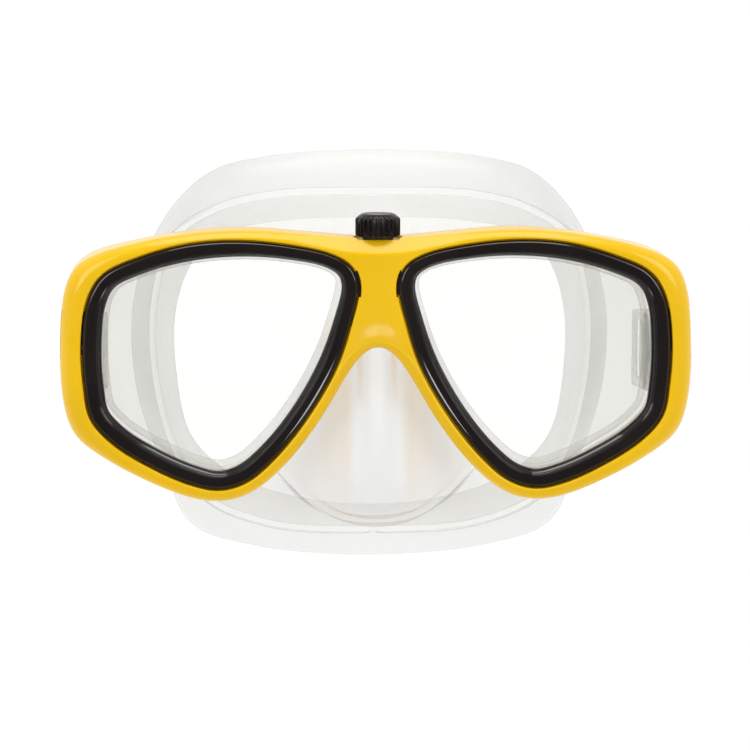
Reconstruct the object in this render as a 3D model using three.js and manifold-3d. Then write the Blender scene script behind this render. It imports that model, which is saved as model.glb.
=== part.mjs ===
// A two-window snorkel mask: a stiff frame, two swing-out lens units locked by a knob in the bridge,
// a clear silicone skirt with a nose pocket, and a swivelling strap buckle on each temple.
// Millimetres, +Z up, the windows face -Y and +X is the wearer's left. The shapes are drawn with Y = 0 at the
// front plane of the windows, and the whole group is then moved so that the origin lies on the face.
import * as THREE from "three";
import { mergeVertices } from "three/addons/utils/BufferGeometryUtils.js";
import Module from "manifold-3d";

const wasm = await Module();
wasm.setup();

// Driving dimensions
const REACH = 62; // from the windows' front plane back to the face at the temples
const SWEEP = Math.tan(THREE.MathUtils.degToRad(5)); // how far each window is swept back from the bridge
const BRIDGE_FLAT = 6; // half width over which the sweep eases in
const CLEAR = 0.35; // gap between the frame and a lens unit
const SEAT = 0.3; // gap between pieces that touch
const BEYOND = 40; // further than any cut has to reach

// Outline of the wearer's left lens unit, clockwise from the bridge, as [x, z, width of the black ring]
const LENS_OUTLINE = [
  [5.4, 18.6, 4.5], [7.1, 23.8, 4.3], [12.6, 27.2, 3.9], [25.1, 29.8, 4.0], [38.5, 30.8, 4.4],
  [51.9, 29.7, 4.7], [64.8, 26.1, 4.6], [74.6, 21.3, 4.7], [78.7, 14.5, 5.1], [80.4, 2, 5.4], [79.8, -10, 5.3],
  [78.2, -18.1, 5.3], [72.1, -24.9, 5.2], [61.5, -31.4, 5.2], [51.6, -35.7, 5.2], [43.4, -37.3, 5.0],
  [35.8, -35.0, 4.9], [27.7, -27.9, 4.8], [18.8, -16.4, 4.8], [11.3, -3.1, 5.0], [7.5, 8.5, 4.7],
];
// Outline of the frame's left half, clockwise from the top of the bridge to the nose arch
const FRAME_TOP = [0, 31.4];
const NOSE_ARCH = [0, 2.8];
const FRAME_SIDE = [
  [7, 31.6], [20, 32.6], [33, 33.6], [45, 33.3], [57, 31.8], [67, 29.7], [76, 27.0], [82.8, 23.0],
  [85.6, 15], [86.6, 4], [86.5, -8], [85.5, -16.3], [82.7, -23.7], [76.6, -28.2], [67.4, -33.3], [57.3, -37.9],
  [49.6, -40.4], [43.5, -41.0], [37.9, -40.1], [32.8, -37.4], [26.3, -31.7], [19.6, -23.7], [13.3, -14.2],
  [8.9, -6.4], [4.6, -0.3],
];
const LOOP_SAMPLES = 480; // points on a smoothed outline before it is thinned out
const LOOP_PASSES = 18; // smoothing passes over them
const STATIONS = 40; // sections around one window
const FRAME_STATIONS = 48;

// Depths behind the front plane, from front to back
const FRONT = { frame: 0.4, bezel: 0.5 };
const BEZEL = { shoulder: 0.8, face: 3.4, opening: 5.1, chamfer: 2.2, flange: 2.9, wall: 1.5, draft: 0.7, back: 7.1 };
const SEAT_EDGE = 2.1; // how far in the window's seat starts; past it, offsets follow the width of the ring
const TAB = { low: 16.2, high: 22.4, proud: 0.5, root: 1.2, front: 1.2, back: 3.4 }; // locking tab by the bridge
const GASKET = { front: 3.1, back: 3.9, outer: 2.1, inner: 4.9 };
const GLASS = { front: 4.1, back: 7.0, edge: 2.0 };
const LEDGE = { front: 9.3, back: 11.5, inner: 3.6 }; // the frame's ledge behind a lens unit
const COLLAR = { front: 7.4, lip: 9.0, lipOuter: 2.3, neck: 4.0, inner: 6.4, rear: 11.8, back: 13.6, outer: 0.6 };
const WALL = { thick: 2.2, top: 13.4, temple: 20, from: 62, to: 80 }; // the frame's side wall
const ARCH = { depth: 11.7, from: 28, to: 38, low: 0, high: 6 }; // where the nose arch makes the wall shallower
const ROUNDING = { edge: 3.2, temple: 5.2, from: 68, to: 82 }; // radius of the frame's front edge
const SHELF = { middle: 4.1, sides: 2.2, near: 4, far: 26, slope: 0.8, above: 20, fadeFrom: 58, fadeTo: 76 };
const FRONT_STEPS = [0.4, 0.7, 0.88, 1]; // points across the frame's front, from a window to its edge
const HOLE_EDGE = 0.5; // small break where the front meets a window hole
const BRIDGE_BACK = 12.4;
const BRIDGE_OVERLAP = 0.25; // how far each half runs past the middle, so that the two join

// Knob and bridge lock
const KNOB = { y: 7.0, radius: 6.1, bottom: 31.7, shoulder: 36.6, top: 37.9, crown: 4.2, ribs: 26, rib: 0.28 };
const KNOB_SEAT = 31.0;
const SCREW = { radius: 1.5, hole: 1.8, low: 8.3, high: 35.2 };
const CLIP = { inner: 1.65, outer: 2.9, low: 24.5, high: 25.1, gap: 1 };
const WASHER = { radius: 4.2, low: 31.1, high: 31.6 };
const POCKET = { half: 3.3, flankHalf: 9, front: 3.6, back: 10.3, low: 7.2, high: 25.5 };
const WEDGE = { low: 9.5, high: 18, lowHalf: 6.2, highHalf: 4.5, front: 3.9, flankBack: 7.0, back: 9.9, half: 3.0 };
const COVER = { half: 4.0, corner: 1.5, low: 3.3, high: 29.2, front: 10.5, back: 12.2, gap: 0.2 };
const COVER_SCREWS = { upper: 27.2, lower: 5.3 }; // their heights
const COVER_SCREW = { tip: 9.1, shank: 0.9, hole: 1.1, head: 1.7, recess: 1.9, sink: 0.9, slot: 0.2 };

// Temple hook of a lens unit, and the slot that it reaches into
const HOOK = { low: -1, high: 11, front: 4.8, back: 6.9, root: 79, tip: 83.3 };
const HOOK_SLOT = { front: 0.9, back: 1.2, ends: 0.7 }; // gaps round the hook

// Strap buckle: its pivot, and how far it is turned in towards the head
const BUCKLE = { x: 78.0, y: 32.5, z: -5, turn: THREE.MathUtils.degToRad(12) };

// Skirt: control points from the forehead round the temple to the upper lip, as [x, y, z]
const RIM = [
  [0, 42, 41.3], [28, 43.2, 40.4], [44.5, 46.5, 36], [56, 51.5, 27.5], [62, 55, 8], [61.5, 54.5, -14],
  [56, 51.5, -34], [47, 48.5, -47], [30, 44, -53.5], [0, 40, -55],
];
const OUTER_SEAL = [
  [0, 48, 52], [31, 49.6, 49.9], [46, 52, 45.3], [59.2, 56.5, 31.2], [67.5, 60.5, 9], [67, 60.5, -17],
  [59.3, 57.5, -40], [51.5, 54, -55.5], [34, 49.5, -61.0], [0, 45.5, -63.2],
];
const INNER_SEAL = [
  [0, 42.5, 34], [26, 43.5, 33], [40.8, 46.5, 29.5], [50.5, 52, 21.5], [56.1, 57.5, 6], [56.1, 57.5, -12],
  [52, 55, -30], [41.5, 50, -40], [24, 44, -46], [0, 39.5, -48],
];
// Skirt's midline from the upper lip, under and up the nose, over the bridge to the forehead, as [y, z]
const MIDLINE = [
  [40, -55], [30, -50.5], [14, -48.5], [3.5, -45.5], [-1.5, -38.5], [1.5, -27], [6.2, -15], [11.2, -6],
  [14.4, 2], [14.8, 12], [14.7, 22], [17, 29], [26, 35], [42, 41.3],
];
const SKIRT_LENS_TOP = [12.5, 27.5]; // where the forehead's midline joins the window
const SKIRT_LENS_LOW = [31, -31.5]; // where the lip's midline joins it
const RIM_STATIONS = 24;
const MIDLINE_STATIONS = 18;
const WALL_RINGS = 5;
const RING_CROWDING = 1.35; // draws the rings together towards the midline
const SEAL_RINGS = 2;
const RIM_LEAD = 0.76; // keeps the skirt's wall running straight back at the temple
const SKIRT_HALF = { wall: 1.05, edge: 0.6 }; // half thickness of the skirt
const START_DEPTH = 13.1;
const START_OFFSET = 3.5;
const TURN = { leave: 0.14, arrive: 0.86, fold: 0.12 }; // shares of a run over which the wall turns
const LAG = { even: 0.2, power: 1.2 }; // how the window's stations lag behind the midline's
const PULL = { out: [0.06, 0.27], back: [0.3, 0.34], arrive: 0.52 }; // curve handles, as shares of its length
const SEAL_BOW = { out: 0.62, back: 0.22 };
const INNER_LIP = { bow: 1, edge: 1.0, middle: 1.7, root: 2.0 }; // its thickness, from the edge to the root
const LUG = { inner: -6, half: 9, high: 2.7 }; // where the skirt carries a buckle's mount

const MATERIALS = {
  frame: { color: 0xf2bd12, roughness: 0.18, metalness: 0 },
  black: { color: 0x17141a, roughness: 0.22, metalness: 0 },
  knob: { color: 0x1c191d, roughness: 0.4, metalness: 0 },
  glass: { color: 0xe9f2ee, roughness: 0.03, metalness: 0, transparent: true, opacity: 0.2 },
  gasket: { color: 0x1b1b1b, roughness: 0.6, metalness: 0 },
  silicone: { color: 0xe8e8e4, roughness: 0.35, metalness: 0, transparent: true, opacity: 0.5 },
  clear: { color: 0xdfe3e2, roughness: 0.12, metalness: 0, transparent: true, opacity: 0.5 },
  steel: { color: 0xc3c5c8, roughness: 0.25, metalness: 1 },
};

// ---------------------------------------------------------------- solids

function solidFrom(geometry) {
  const bare = new THREE.BufferGeometry();
  bare.setAttribute("position", geometry.getAttribute("position"));
  if (geometry.index) bare.setIndex(geometry.index);
  const merged = mergeVertices(bare, 1e-4);
  const build = (triVerts) =>
    new wasm.Manifold(
      new wasm.Mesh({ numProp: 3, vertProperties: new Float32Array(merged.attributes.position.array), triVerts }),
    );
  const triVerts = new Uint32Array(merged.index.array);
  const made = build(triVerts);
  if (made.volume() > 0) return made;
  for (let i = 0; i < triVerts.length; i += 3) {
    [triVerts[i + 1], triVerts[i + 2]] = [triVerts[i + 2], triVerts[i + 1]];
  }
  return build(triVerts);
}

function geometryFrom(solid) {
  const mesh = solid.getMesh();
  const positions = new Float32Array(mesh.numVert * 3);
  for (let i = 0; i < mesh.numVert; i++) {
    positions.set(mesh.vertProperties.subarray(i * mesh.numProp, i * mesh.numProp + 3), i * 3);
  }
  const geometry = new THREE.BufferGeometry();
  geometry.setAttribute("position", new THREE.BufferAttribute(positions, 3));
  geometry.setIndex(new THREE.BufferAttribute(mesh.triVerts, 1));
  return geometry;
}

function box(low, high) {
  const size = high.map((value, i) => value - low[i]);
  const geometry = new THREE.BoxGeometry(...size);
  geometry.translate(...high.map((value, i) => (value + low[i]) / 2));
  return solidFrom(geometry);
}

// A solid of revolution about the axis given, from a profile of [radius, height] that starts and ends on the axis.
function turned(profile, axis, centre, sides = 20) {
  const geometry = new THREE.LatheGeometry(profile.map(([r, h]) => new THREE.Vector2(r, h)), sides);
  if (axis === "z") geometry.rotateX(Math.PI / 2);
  if (axis === "x") geometry.rotateZ(-Math.PI / 2);
  geometry.translate(...centre);
  return solidFrom(geometry);
}

function rod(radius, low, high, axis, centre, sides = 16) {
  return turned([[0, low], [radius, low], [radius, high], [0, high]], axis, centre, sides);
}

// An outline of [a, b] points pushed along an axis. On "y" the outline is [x, z]; on "x" it is [y, z].
function prism(outline, axis, from, to) {
  const shape = new THREE.Shape(outline.map(([a, b]) => new THREE.Vector2(a, b)));
  const geometry = new THREE.ExtrudeGeometry(shape, { depth: to - from, bevelEnabled: false });
  const p = geometry.getAttribute("position");
  for (let i = 0; i < p.count; i++) {
    const [a, b, h] = [p.getX(i), p.getY(i), p.getZ(i) + from];
    if (axis === "y") p.setXYZ(i, a, h, b);
    else if (axis === "x") p.setXYZ(i, h, a, b);
    else p.setXYZ(i, a, b, h);
  }
  return solidFrom(geometry);
}

// A closed band through sections that each hold the same number of points.
function band(sections) {
  const across = sections[0].length;
  const positions = sections.flat().flatMap((p) => [p.x, p.y, p.z]);
  const index = [];
  sections.forEach((_, i) => {
    const next = (i + 1) % sections.length;
    for (let j = 0; j < across; j++) {
      const k = (j + 1) % across;
      const corners = [i * across + j, i * across + k, next * across + k, next * across + j];
      index.push(corners[0], corners[1], corners[2], corners[0], corners[2], corners[3]);
    }
  });
  const geometry = new THREE.BufferGeometry();
  geometry.setAttribute("position", new THREE.Float32BufferAttribute(positions, 3));
  geometry.setIndex(index);
  return solidFrom(geometry);
}

// ---------------------------------------------------------------- outlines

function sweep(x) {
  const a = Math.abs(x);
  return SWEEP * (a < BRIDGE_FLAT ? (a * a) / (2 * BRIDGE_FLAT) : a - BRIDGE_FLAT / 2);
}

function ease(value, from, to) {
  return THREE.MathUtils.smoothstep(value, from, to);
}

// A smooth closed loop through [x, z, width] points, as {x, z, width, nx, nz} with the normal pointing out.
function smoothLoop(points) {
  const corners = points.map(([x, z, width = 0]) => new THREE.Vector3(x, width, z));
  let dense = new THREE.CatmullRomCurve3(corners, true, "centripetal").getSpacedPoints(LOOP_SAMPLES);
  dense.pop();
  const at = (list, i) => list[(i + list.length) % list.length];
  for (let pass = 0; pass < LOOP_PASSES; pass++) {
    dense = dense.map((p, i) => at(dense, i - 1).clone().add(at(dense, i + 1)).addScaledVector(p, 2).divideScalar(4));
  }
  return dense.map((p, i) => {
    const along = at(dense, i + 1).clone().sub(at(dense, i - 1)).setY(0).normalize();
    return { x: p.x, z: p.z, width: p.y, nx: -along.z, nz: along.x };
  });
}

function thin(loop, count) {
  return Array.from({ length: count }, (_, i) => loop[Math.round((i * loop.length) / count)]);
}

// A point at a depth behind the front plane, set in from the loop by an offset.
function inset(station, offset, depth) {
  const share = THREE.MathUtils.clamp((offset - SEAT_EDGE) / (BEZEL.opening - SEAT_EDGE), 0, 1);
  const by = offset + share * (station.width - BEZEL.opening);
  const x = station.x - station.nx * by;
  return new THREE.Vector3(x, depth + sweep(x), station.z - station.nz * by);
}

function mirrored(points) {
  return points.map(([x, ...rest]) => [-x, ...rest]).reverse();
}

const LENS_LOOP = smoothLoop(LENS_OUTLINE);
const FRAME_LOOP = smoothLoop([FRAME_TOP, ...FRAME_SIDE, NOSE_ARCH, ...mirrored(FRAME_SIDE)]);

function distanceToFrameEdge(x, z) {
  let best = Infinity;
  for (const p of FRAME_LOOP) best = Math.min(best, Math.hypot(p.x - x, p.z - z));
  return best;
}

// ---------------------------------------------------------------- frame

// Where a line out from the lens outline meets the frame's outline, or the middle of the bridge.
function frameEdge(station) {
  let best = Infinity;
  FRAME_LOOP.forEach((a, i) => {
    const b = FRAME_LOOP[(i + 1) % FRAME_LOOP.length];
    const [ex, ez] = [b.x - a.x, b.z - a.z];
    const cross = station.nx * ez - station.nz * ex;
    const [dx, dz] = [a.x - station.x, a.z - station.z];
    const out = (dx * ez - dz * ex) / cross;
    const along = (dx * station.nz - dz * station.nx) / cross;
    if (out > 0 && along >= 0 && along <= 1) best = Math.min(best, out);
  });
  const toMiddle = station.nx < 0 ? -station.x / station.nx : Infinity;
  const middle = toMiddle < best;
  return { ...station, middle, reach: middle ? toMiddle : best, ox: station.nx, oz: station.nz };
}

// The sections of the frame; next to a corner of the bridge a section is turned to meet the corner itself.
function frameStations() {
  const stations = thin(LENS_LOOP, FRAME_STATIONS).map(frameEdge);
  const corners = FRAME_LOOP.filter((p) => Math.abs(p.x) < 0.5).map((p) => p.z);
  stations.forEach((station, i) => {
    const next = stations[(i + 1) % stations.length];
    if (station.middle === next.middle) return;
    const last = station.middle ? station : next;
    const z = last.z > 10 ? Math.max(...corners) : Math.min(...corners);
    last.reach = Math.hypot(last.x, z - last.z);
    last.ox = -last.x / last.reach;
    last.oz = (z - last.z) / last.reach;
  });
  return stations;
}

// Depth of the frame's front: a rounded edge, and a shelf along the top that is widest at the bridge.
function frameFront(x, z) {
  const radius = THREE.MathUtils.lerp(ROUNDING.edge, ROUNDING.temple, ease(Math.abs(x), ROUNDING.from, ROUNDING.to));
  const away = distanceToFrameEdge(x, z);
  const rounded = radius - Math.sqrt(radius ** 2 - (radius - Math.min(away, radius)) ** 2);
  const width = THREE.MathUtils.lerp(SHELF.middle, SHELF.sides, ease(Math.abs(x), SHELF.near, SHELF.far));
  const faded = 1 - ease(Math.abs(x), SHELF.fadeFrom, SHELF.fadeTo);
  const shelf = z > SHELF.above ? SHELF.slope * Math.max(0, width - away) * faded : 0;
  return FRONT.frame + Math.max(rounded, shelf);
}

function wallDepth(x, z) {
  const depth = THREE.MathUtils.lerp(WALL.top, WALL.temple, ease(Math.abs(x), WALL.from, WALL.to));
  const arch = (1 - ease(Math.abs(x), ARCH.from, ARCH.to)) * (1 - ease(z, ARCH.low, ARCH.high));
  return THREE.MathUtils.lerp(depth, ARCH.depth, arch);
}

function frameSection(station) {
  const { middle } = station;
  const outer = -station.reach - (middle ? BRIDGE_OVERLAP : 0);
  const outward = { ...station, nx: station.ox, nz: station.oz };
  const point = (offset, depth) => inset(offset < -CLEAR ? outward : station, offset, depth);
  const surface = (offset) => {
    const p = point(offset, 0);
    return point(offset, middle && offset === outer ? frameFront(0, p.z) : frameFront(p.x, p.z));
  };
  const edge = point(outer, 0);
  const back = middle ? BRIDGE_BACK : wallDepth(edge.x, edge.z);
  const inner = Math.min(outer + WALL.thick, -CLEAR - 0.1);
  const inFront = FRONT_STEPS.map((t) => surface(-CLEAR + (outer + CLEAR) * t));
  return [
    point(LEDGE.inner, LEDGE.front),
    point(-CLEAR, LEDGE.front),
    point(-CLEAR, FRONT.frame + HOLE_EDGE),
    surface(-CLEAR - HOLE_EDGE / 2),
    ...inFront,
    point(outer, (inFront.at(-1).y - sweep(edge.x) + back) / 2),
    point(outer, back),
    point(inner, back),
    point(inner, LEDGE.back),
    point(LEDGE.inner, LEDGE.back),
  ];
}

function frameSolid() {
  const half = band(frameStations().map(frameSection));
  let frame = half.add(half.mirror([1, 0, 0]));
  const cuts = [
    box([-POCKET.half, POCKET.front, POCKET.low], [POCKET.half, BEYOND, POCKET.high]),
    box([-POCKET.flankHalf, POCKET.front, POCKET.low],
      [POCKET.flankHalf, WEDGE.flankBack + SEAT, WEDGE.high + 2 * SEAT]),
    box([-COVER.half - COVER.gap, POCKET.back, COVER.low - COVER.gap],
      [COVER.half + COVER.gap, BEYOND, COVER.high + COVER.gap]),
    rod(SCREW.hole, POCKET.high - 1, BEYOND, "z", [0, KNOB.y, 0]),
    rod(KNOB.radius + 2 * SEAT, KNOB_SEAT, BEYOND, "z", [0, KNOB.y, 0], 32),
    ...Object.values(COVER_SCREWS).map((z) => rod(COVER_SCREW.hole, COVER_SCREW.tip - 0.2, BEYOND, "y", [0, 0, z])),
    ...[1, -1].map((side) => templeSlot(side)),
    tabRecess(1),
    tabRecess(-1),
  ];
  for (const cut of cuts) frame = frame.subtract(cut);
  return frame;
}

// The slot that a lens unit's hook reaches into, open at the frame's side.
function templeSlot(side) {
  const depth = sweep(HOOK.tip);
  const xs = [side * HOOK.root, side * (HOOK.tip + 10)].sort((a, b) => a - b);
  return box([xs[0], HOOK.front - HOOK_SLOT.front + depth, HOOK.low - HOOK_SLOT.ends],
    [xs[1], HOOK.back + HOOK_SLOT.back + depth, HOOK.high + HOOK_SLOT.ends]);
}

function tabRecess(side) {
  const recess = tabSolid(CLEAR, FRONT.frame - 2);
  return side > 0 ? recess : recess.mirror([1, 0, 0]);
}

// ---------------------------------------------------------------- lens units

// The tab on the left lens unit's inner edge, grown all round where it cuts the frame.
function tabSolid(grow, front) {
  const half = LOOP_SAMPLES / 2;
  const fromTemple = [...LENS_LOOP.slice(half), ...LENS_LOOP.slice(0, half)];
  const [low, high, back] = [TAB.low - grow, TAB.high + grow, TAB.back + grow];
  const run = fromTemple.filter((s, i) => i % 3 === 0 && s.nx < -0.5 && s.z > low - 3 && s.z < high + 3);
  const outer = run.map((s) => [s.x + s.nx * (TAB.proud + grow), s.z + s.nz * (TAB.proud + grow)]);
  const inner = run.map((s) => [s.x - s.nx * TAB.root, s.z - s.nz * TAB.root]).reverse();
  return prism([...outer, ...inner], "y", front, back).intersect(box([0, front, low], [BEYOND, back, high]));
}

function bezelSolid(side) {
  const sections = thin(LENS_LOOP, STATIONS).map((s) => [
    inset(s, BEZEL.opening, BEZEL.chamfer),
    inset(s, BEZEL.face, FRONT.bezel),
    inset(s, BEZEL.shoulder, FRONT.bezel),
    inset(s, 0, FRONT.bezel + BEZEL.shoulder),
    inset(s, BEZEL.draft, BEZEL.back),
    inset(s, BEZEL.wall, BEZEL.back),
    inset(s, BEZEL.wall, BEZEL.flange),
    inset(s, BEZEL.opening, BEZEL.flange),
  ]);
  const depth = sweep((HOOK.root + HOOK.tip) / 2);
  const hook = box([HOOK.root, HOOK.front + depth, HOOK.low], [HOOK.tip, HOOK.back + depth, HOOK.high]);
  const bezel = band(sections).add(hook).add(tabSolid(0, TAB.front));
  return side > 0 ? bezel : bezel.mirror([1, 0, 0]);
}

function lensPlate(edge, front, back, stations) {
  const outline = thin(LENS_LOOP, stations).map((s) => [s.x - s.nx * edge, s.z - s.nz * edge]);
  return prism(outline, "y", front, back).warp((v) => {
    v[1] += sweep(v[0]);
  });
}

function glassSolid(side) {
  const glass = lensPlate(GLASS.edge, GLASS.front, GLASS.back, STATIONS);
  return side > 0 ? glass : glass.mirror([1, 0, 0]);
}

function gasketSolid(side) {
  const sections = thin(LENS_LOOP, 30).map((s) => [
    inset(s, GASKET.outer, GASKET.front),
    inset(s, GASKET.inner, GASKET.front),
    inset(s, GASKET.inner, GASKET.back),
    inset(s, GASKET.outer, GASKET.back),
  ]);
  const gasket = band(sections);
  return side > 0 ? gasket : gasket.mirror([1, 0, 0]);
}

// ---------------------------------------------------------------- skirt

// A smooth run from the forehead's midline to the lip's, square to the midline at both ends.
class HalfLoop extends THREE.CatmullRomCurve3 {
  constructor(points) {
    const run = points.map((p) => new THREE.Vector3(...p));
    const across = (p) => new THREE.Vector3(-p.x, p.y, p.z);
    super([across(run[1]), ...run, across(run.at(-2))], false, "centripetal");
    this.spans = run.length - 1;
  }

  at(share) {
    return this.getPoint((1 + share * this.spans) / (this.spans + 2));
  }
}

const RIM_CURVE = new HalfLoop(RIM);
const OUTER_CURVE = new HalfLoop(OUTER_SEAL);
const INNER_CURVE = new HalfLoop(INNER_SEAL);
const MIDLINE_CURVE = new THREE.CatmullRomCurve3(
  MIDLINE.map(([y, z]) => new THREE.Vector3(0, y, z)), false, "centripetal",
);

function loopIndexNear([x, z]) {
  let best = 0;
  LENS_LOOP.forEach((p, i) => {
    const closest = LENS_LOOP[best];
    if (Math.hypot(p.x - x, p.z - z) < Math.hypot(closest.x - x, closest.z - z)) best = i;
  });
  return best;
}

function loopPoint(index) {
  const n = LENS_LOOP.length;
  return LENS_LOOP[((Math.round(index) % n) + n) % n];
}

// Each station runs from the window's collar to the rim, or to the midline of the nose, bridge and forehead.
function skirtStations() {
  const top = loopIndexNear(SKIRT_LENS_TOP);
  const low = loopIndexNear(SKIRT_LENS_LOW);
  const stations = [];
  for (let i = 0; i < RIM_STATIONS; i++) {
    const u = i / RIM_STATIONS;
    const lead = u + RIM_LEAD * u * u * (1 - u);
    const turn = (1 - ease(u, 0, TURN.leave) + ease(u, TURN.arrive, 1)) / 2;
    stations.push({ start: loopPoint(top + (low - top) * lead), end: RIM_CURVE.at(u), turn });
  }
  for (let i = 0; i < MIDLINE_STATIONS; i++) {
    const u = i / MIDLINE_STATIONS;
    const lag = LAG.even * u + (1 - LAG.even) * ease(u ** LAG.power, 0, 1);
    const turn = (1 + ease(u, 0, TURN.fold) * (1 - ease(u, TURN.arrive, 1))) / 2;
    const start = loopPoint(low + (LENS_LOOP.length + top - low) * lag);
    stations.push({ start, end: MIDLINE_CURVE.getPoint(u), turn });
  }
  return stations;
}

// turn is 0 where the wall runs back to the rim and 1 where it folds over on to the midline.
function skirtPath({ start, end, turn }) {
  const from = inset(start, START_OFFSET, START_DEPTH);
  const length = from.distanceTo(end);
  const out = THREE.MathUtils.lerp(...PULL.out, turn) * length;
  const back = THREE.MathUtils.lerp(...PULL.back, turn) * length;
  const leave = from.clone().add(new THREE.Vector3(start.nx * out, back, start.nz * out));
  const angle = (turn * Math.PI) / 2;
  const arrive = new THREE.Vector3(Math.sin(angle), -Math.cos(angle), 0).multiplyScalar(PULL.arrive * length).add(end);
  return new THREE.CubicBezierCurve3(from, leave, arrive, end);
}

function sealPath(u) {
  const root = RIM_CURVE.at(u);
  const edge = OUTER_CURVE.at(u);
  const middle = root.clone().lerp(edge, SEAL_BOW.out);
  middle.y = THREE.MathUtils.lerp(root.y, edge.y, SEAL_BOW.back);
  return new THREE.QuadraticBezierCurve3(root, middle, edge);
}

// The left half of the skirt's middle surface, as rows of points and their half thickness.
function skirtSheet() {
  const positions = [];
  const halves = [];
  const index = [];
  const add = (p, half) => {
    positions.push(Math.abs(p.x) < 1e-6 ? 0 : p.x, p.y, p.z);
    halves.push(half);
    return halves.length - 1;
  };
  const quad = (a, b, c, d) => index.push(a, b, c, a, c, d);
  const rows = skirtStations().map((station) => {
    const path = skirtPath(station);
    const rings = Array.from({ length: WALL_RINGS + 1 }, (_, k) => 1 - (1 - k / WALL_RINGS) ** RING_CROWDING);
    return rings.map((t) => add(path.getPoint(t), SKIRT_HALF.wall));
  });
  rows.forEach((row, i) => {
    const next = rows[(i + 1) % rows.length];
    for (let k = 0; k < WALL_RINGS; k++) quad(row[k], row[k + 1], next[k + 1], next[k]);
  });
  let previous = null;
  for (let i = 0; i <= RIM_STATIONS; i++) {
    const path = sealPath(i / RIM_STATIONS);
    const run = [rows[i].at(-1)];
    for (let j = 1; j <= SEAL_RINGS; j++) {
      const t = j / SEAL_RINGS;
      run.push(add(path.getPoint(t), THREE.MathUtils.lerp(SKIRT_HALF.wall, SKIRT_HALF.edge, t)));
    }
    if (previous) for (let j = 0; j < SEAL_RINGS; j++) quad(previous[j], previous[j + 1], run[j + 1], run[j]);
    previous = run;
  }
  return { positions, halves, index };
}

// Both halves joined at the middle, then given their thickness and closed along their open edges.
function skirtShell() {
  const { positions, halves, index } = skirtSheet();
  const count = halves.length;
  const both = new THREE.BufferGeometry();
  const mirror = positions.map((value, i) => (i % 3 === 0 ? -value : value));
  const flipped = [];
  for (let i = 0; i < index.length; i += 3) {
    flipped.push(index[i] + count, index[i + 2] + count, index[i + 1] + count);
  }
  both.setAttribute("position", new THREE.Float32BufferAttribute([...positions, ...mirror], 3));
  both.setAttribute("half", new THREE.Float32BufferAttribute([...halves, ...halves], 1));
  both.setIndex([...index, ...flipped]);
  const sheet = mergeVertices(both, 1e-3);
  sheet.computeVertexNormals();
  const p = sheet.getAttribute("position");
  const n = sheet.getAttribute("normal");
  const half = sheet.getAttribute("half");
  const points = [];
  for (const side of [1, -1]) {
    for (let i = 0; i < p.count; i++) {
      const t = side * half.getX(i);
      points.push(p.getX(i) + n.getX(i) * t, p.getY(i) + n.getY(i) * t, p.getZ(i) + n.getZ(i) * t);
    }
  }
  const faces = Array.from(sheet.index.array);
  const triangles = [...faces];
  const edges = new Map();
  for (let i = 0; i < faces.length; i += 3) {
    const [a, b, c] = faces.slice(i, i + 3);
    triangles.push(a + p.count, c + p.count, b + p.count);
    for (const [from, to] of [[a, b], [b, c], [c, a]]) {
      if (!edges.delete(`${to},${from}`)) edges.set(`${from},${to}`, [from, to]);
    }
  }
  for (const [from, to] of edges.values()) {
    triangles.push(to, from, from + p.count, to, from + p.count, to + p.count);
  }
  const shell = new THREE.BufferGeometry();
  shell.setAttribute("position", new THREE.Float32BufferAttribute(points, 3));
  shell.setIndex(triangles);
  return solidFrom(shell);
}

// The grooved collar that grips the frame's ledge round one window.
function collarSolid() {
  const c = COLLAR;
  return band(
    thin(LENS_LOOP, 30).map((s) => [
      inset(s, c.inner, c.front),
      inset(s, c.lipOuter, c.front),
      inset(s, c.lipOuter, c.lip),
      inset(s, c.neck, c.lip),
      inset(s, c.neck, c.rear),
      inset(s, c.outer, c.rear),
      inset(s, c.outer, c.back),
      inset(s, c.inner, c.back),
    ]),
  );
}

// The inner sealing lip, a tapered strip turned in from the rim.
function innerSeal() {
  const right = [];
  for (let i = 0; i <= RIM_STATIONS; i++) {
    const u = i / RIM_STATIONS;
    const root = RIM_CURVE.at(u);
    const edge = INNER_CURVE.at(u);
    const middle = root.clone().lerp(edge, 0.5);
    middle.y = Math.max(root.y, edge.y) + INNER_LIP.bow;
    const forward = (p, by) => new THREE.Vector3(p.x, p.y - by, p.z);
    const front = [forward(edge, INNER_LIP.edge), forward(middle, INNER_LIP.middle), forward(root, INNER_LIP.root)];
    right.push([root, middle, edge, ...front]);
  }
  const flip = (section) => section.map((p) => new THREE.Vector3(-p.x, p.y, p.z));
  const left = right.slice(1, -1).map(flip).reverse();
  return band([...right, ...left]);
}

function lugSolid() {
  return place(box([LUG.inner, -LUG.half, -LUG.high], [-SEAT, LUG.half, LUG.high]));
}

function skirtSolid() {
  const collar = collarSolid();
  const lug = lugSolid();
  const extras = [collar, collar.mirror([1, 0, 0]), innerSeal(), lug, lug.mirror([1, 0, 0])];
  return extras.reduce((skirt, extra) => skirt.add(extra), skirtShell());
}

// ---------------------------------------------------------------- knob and lock

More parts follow.
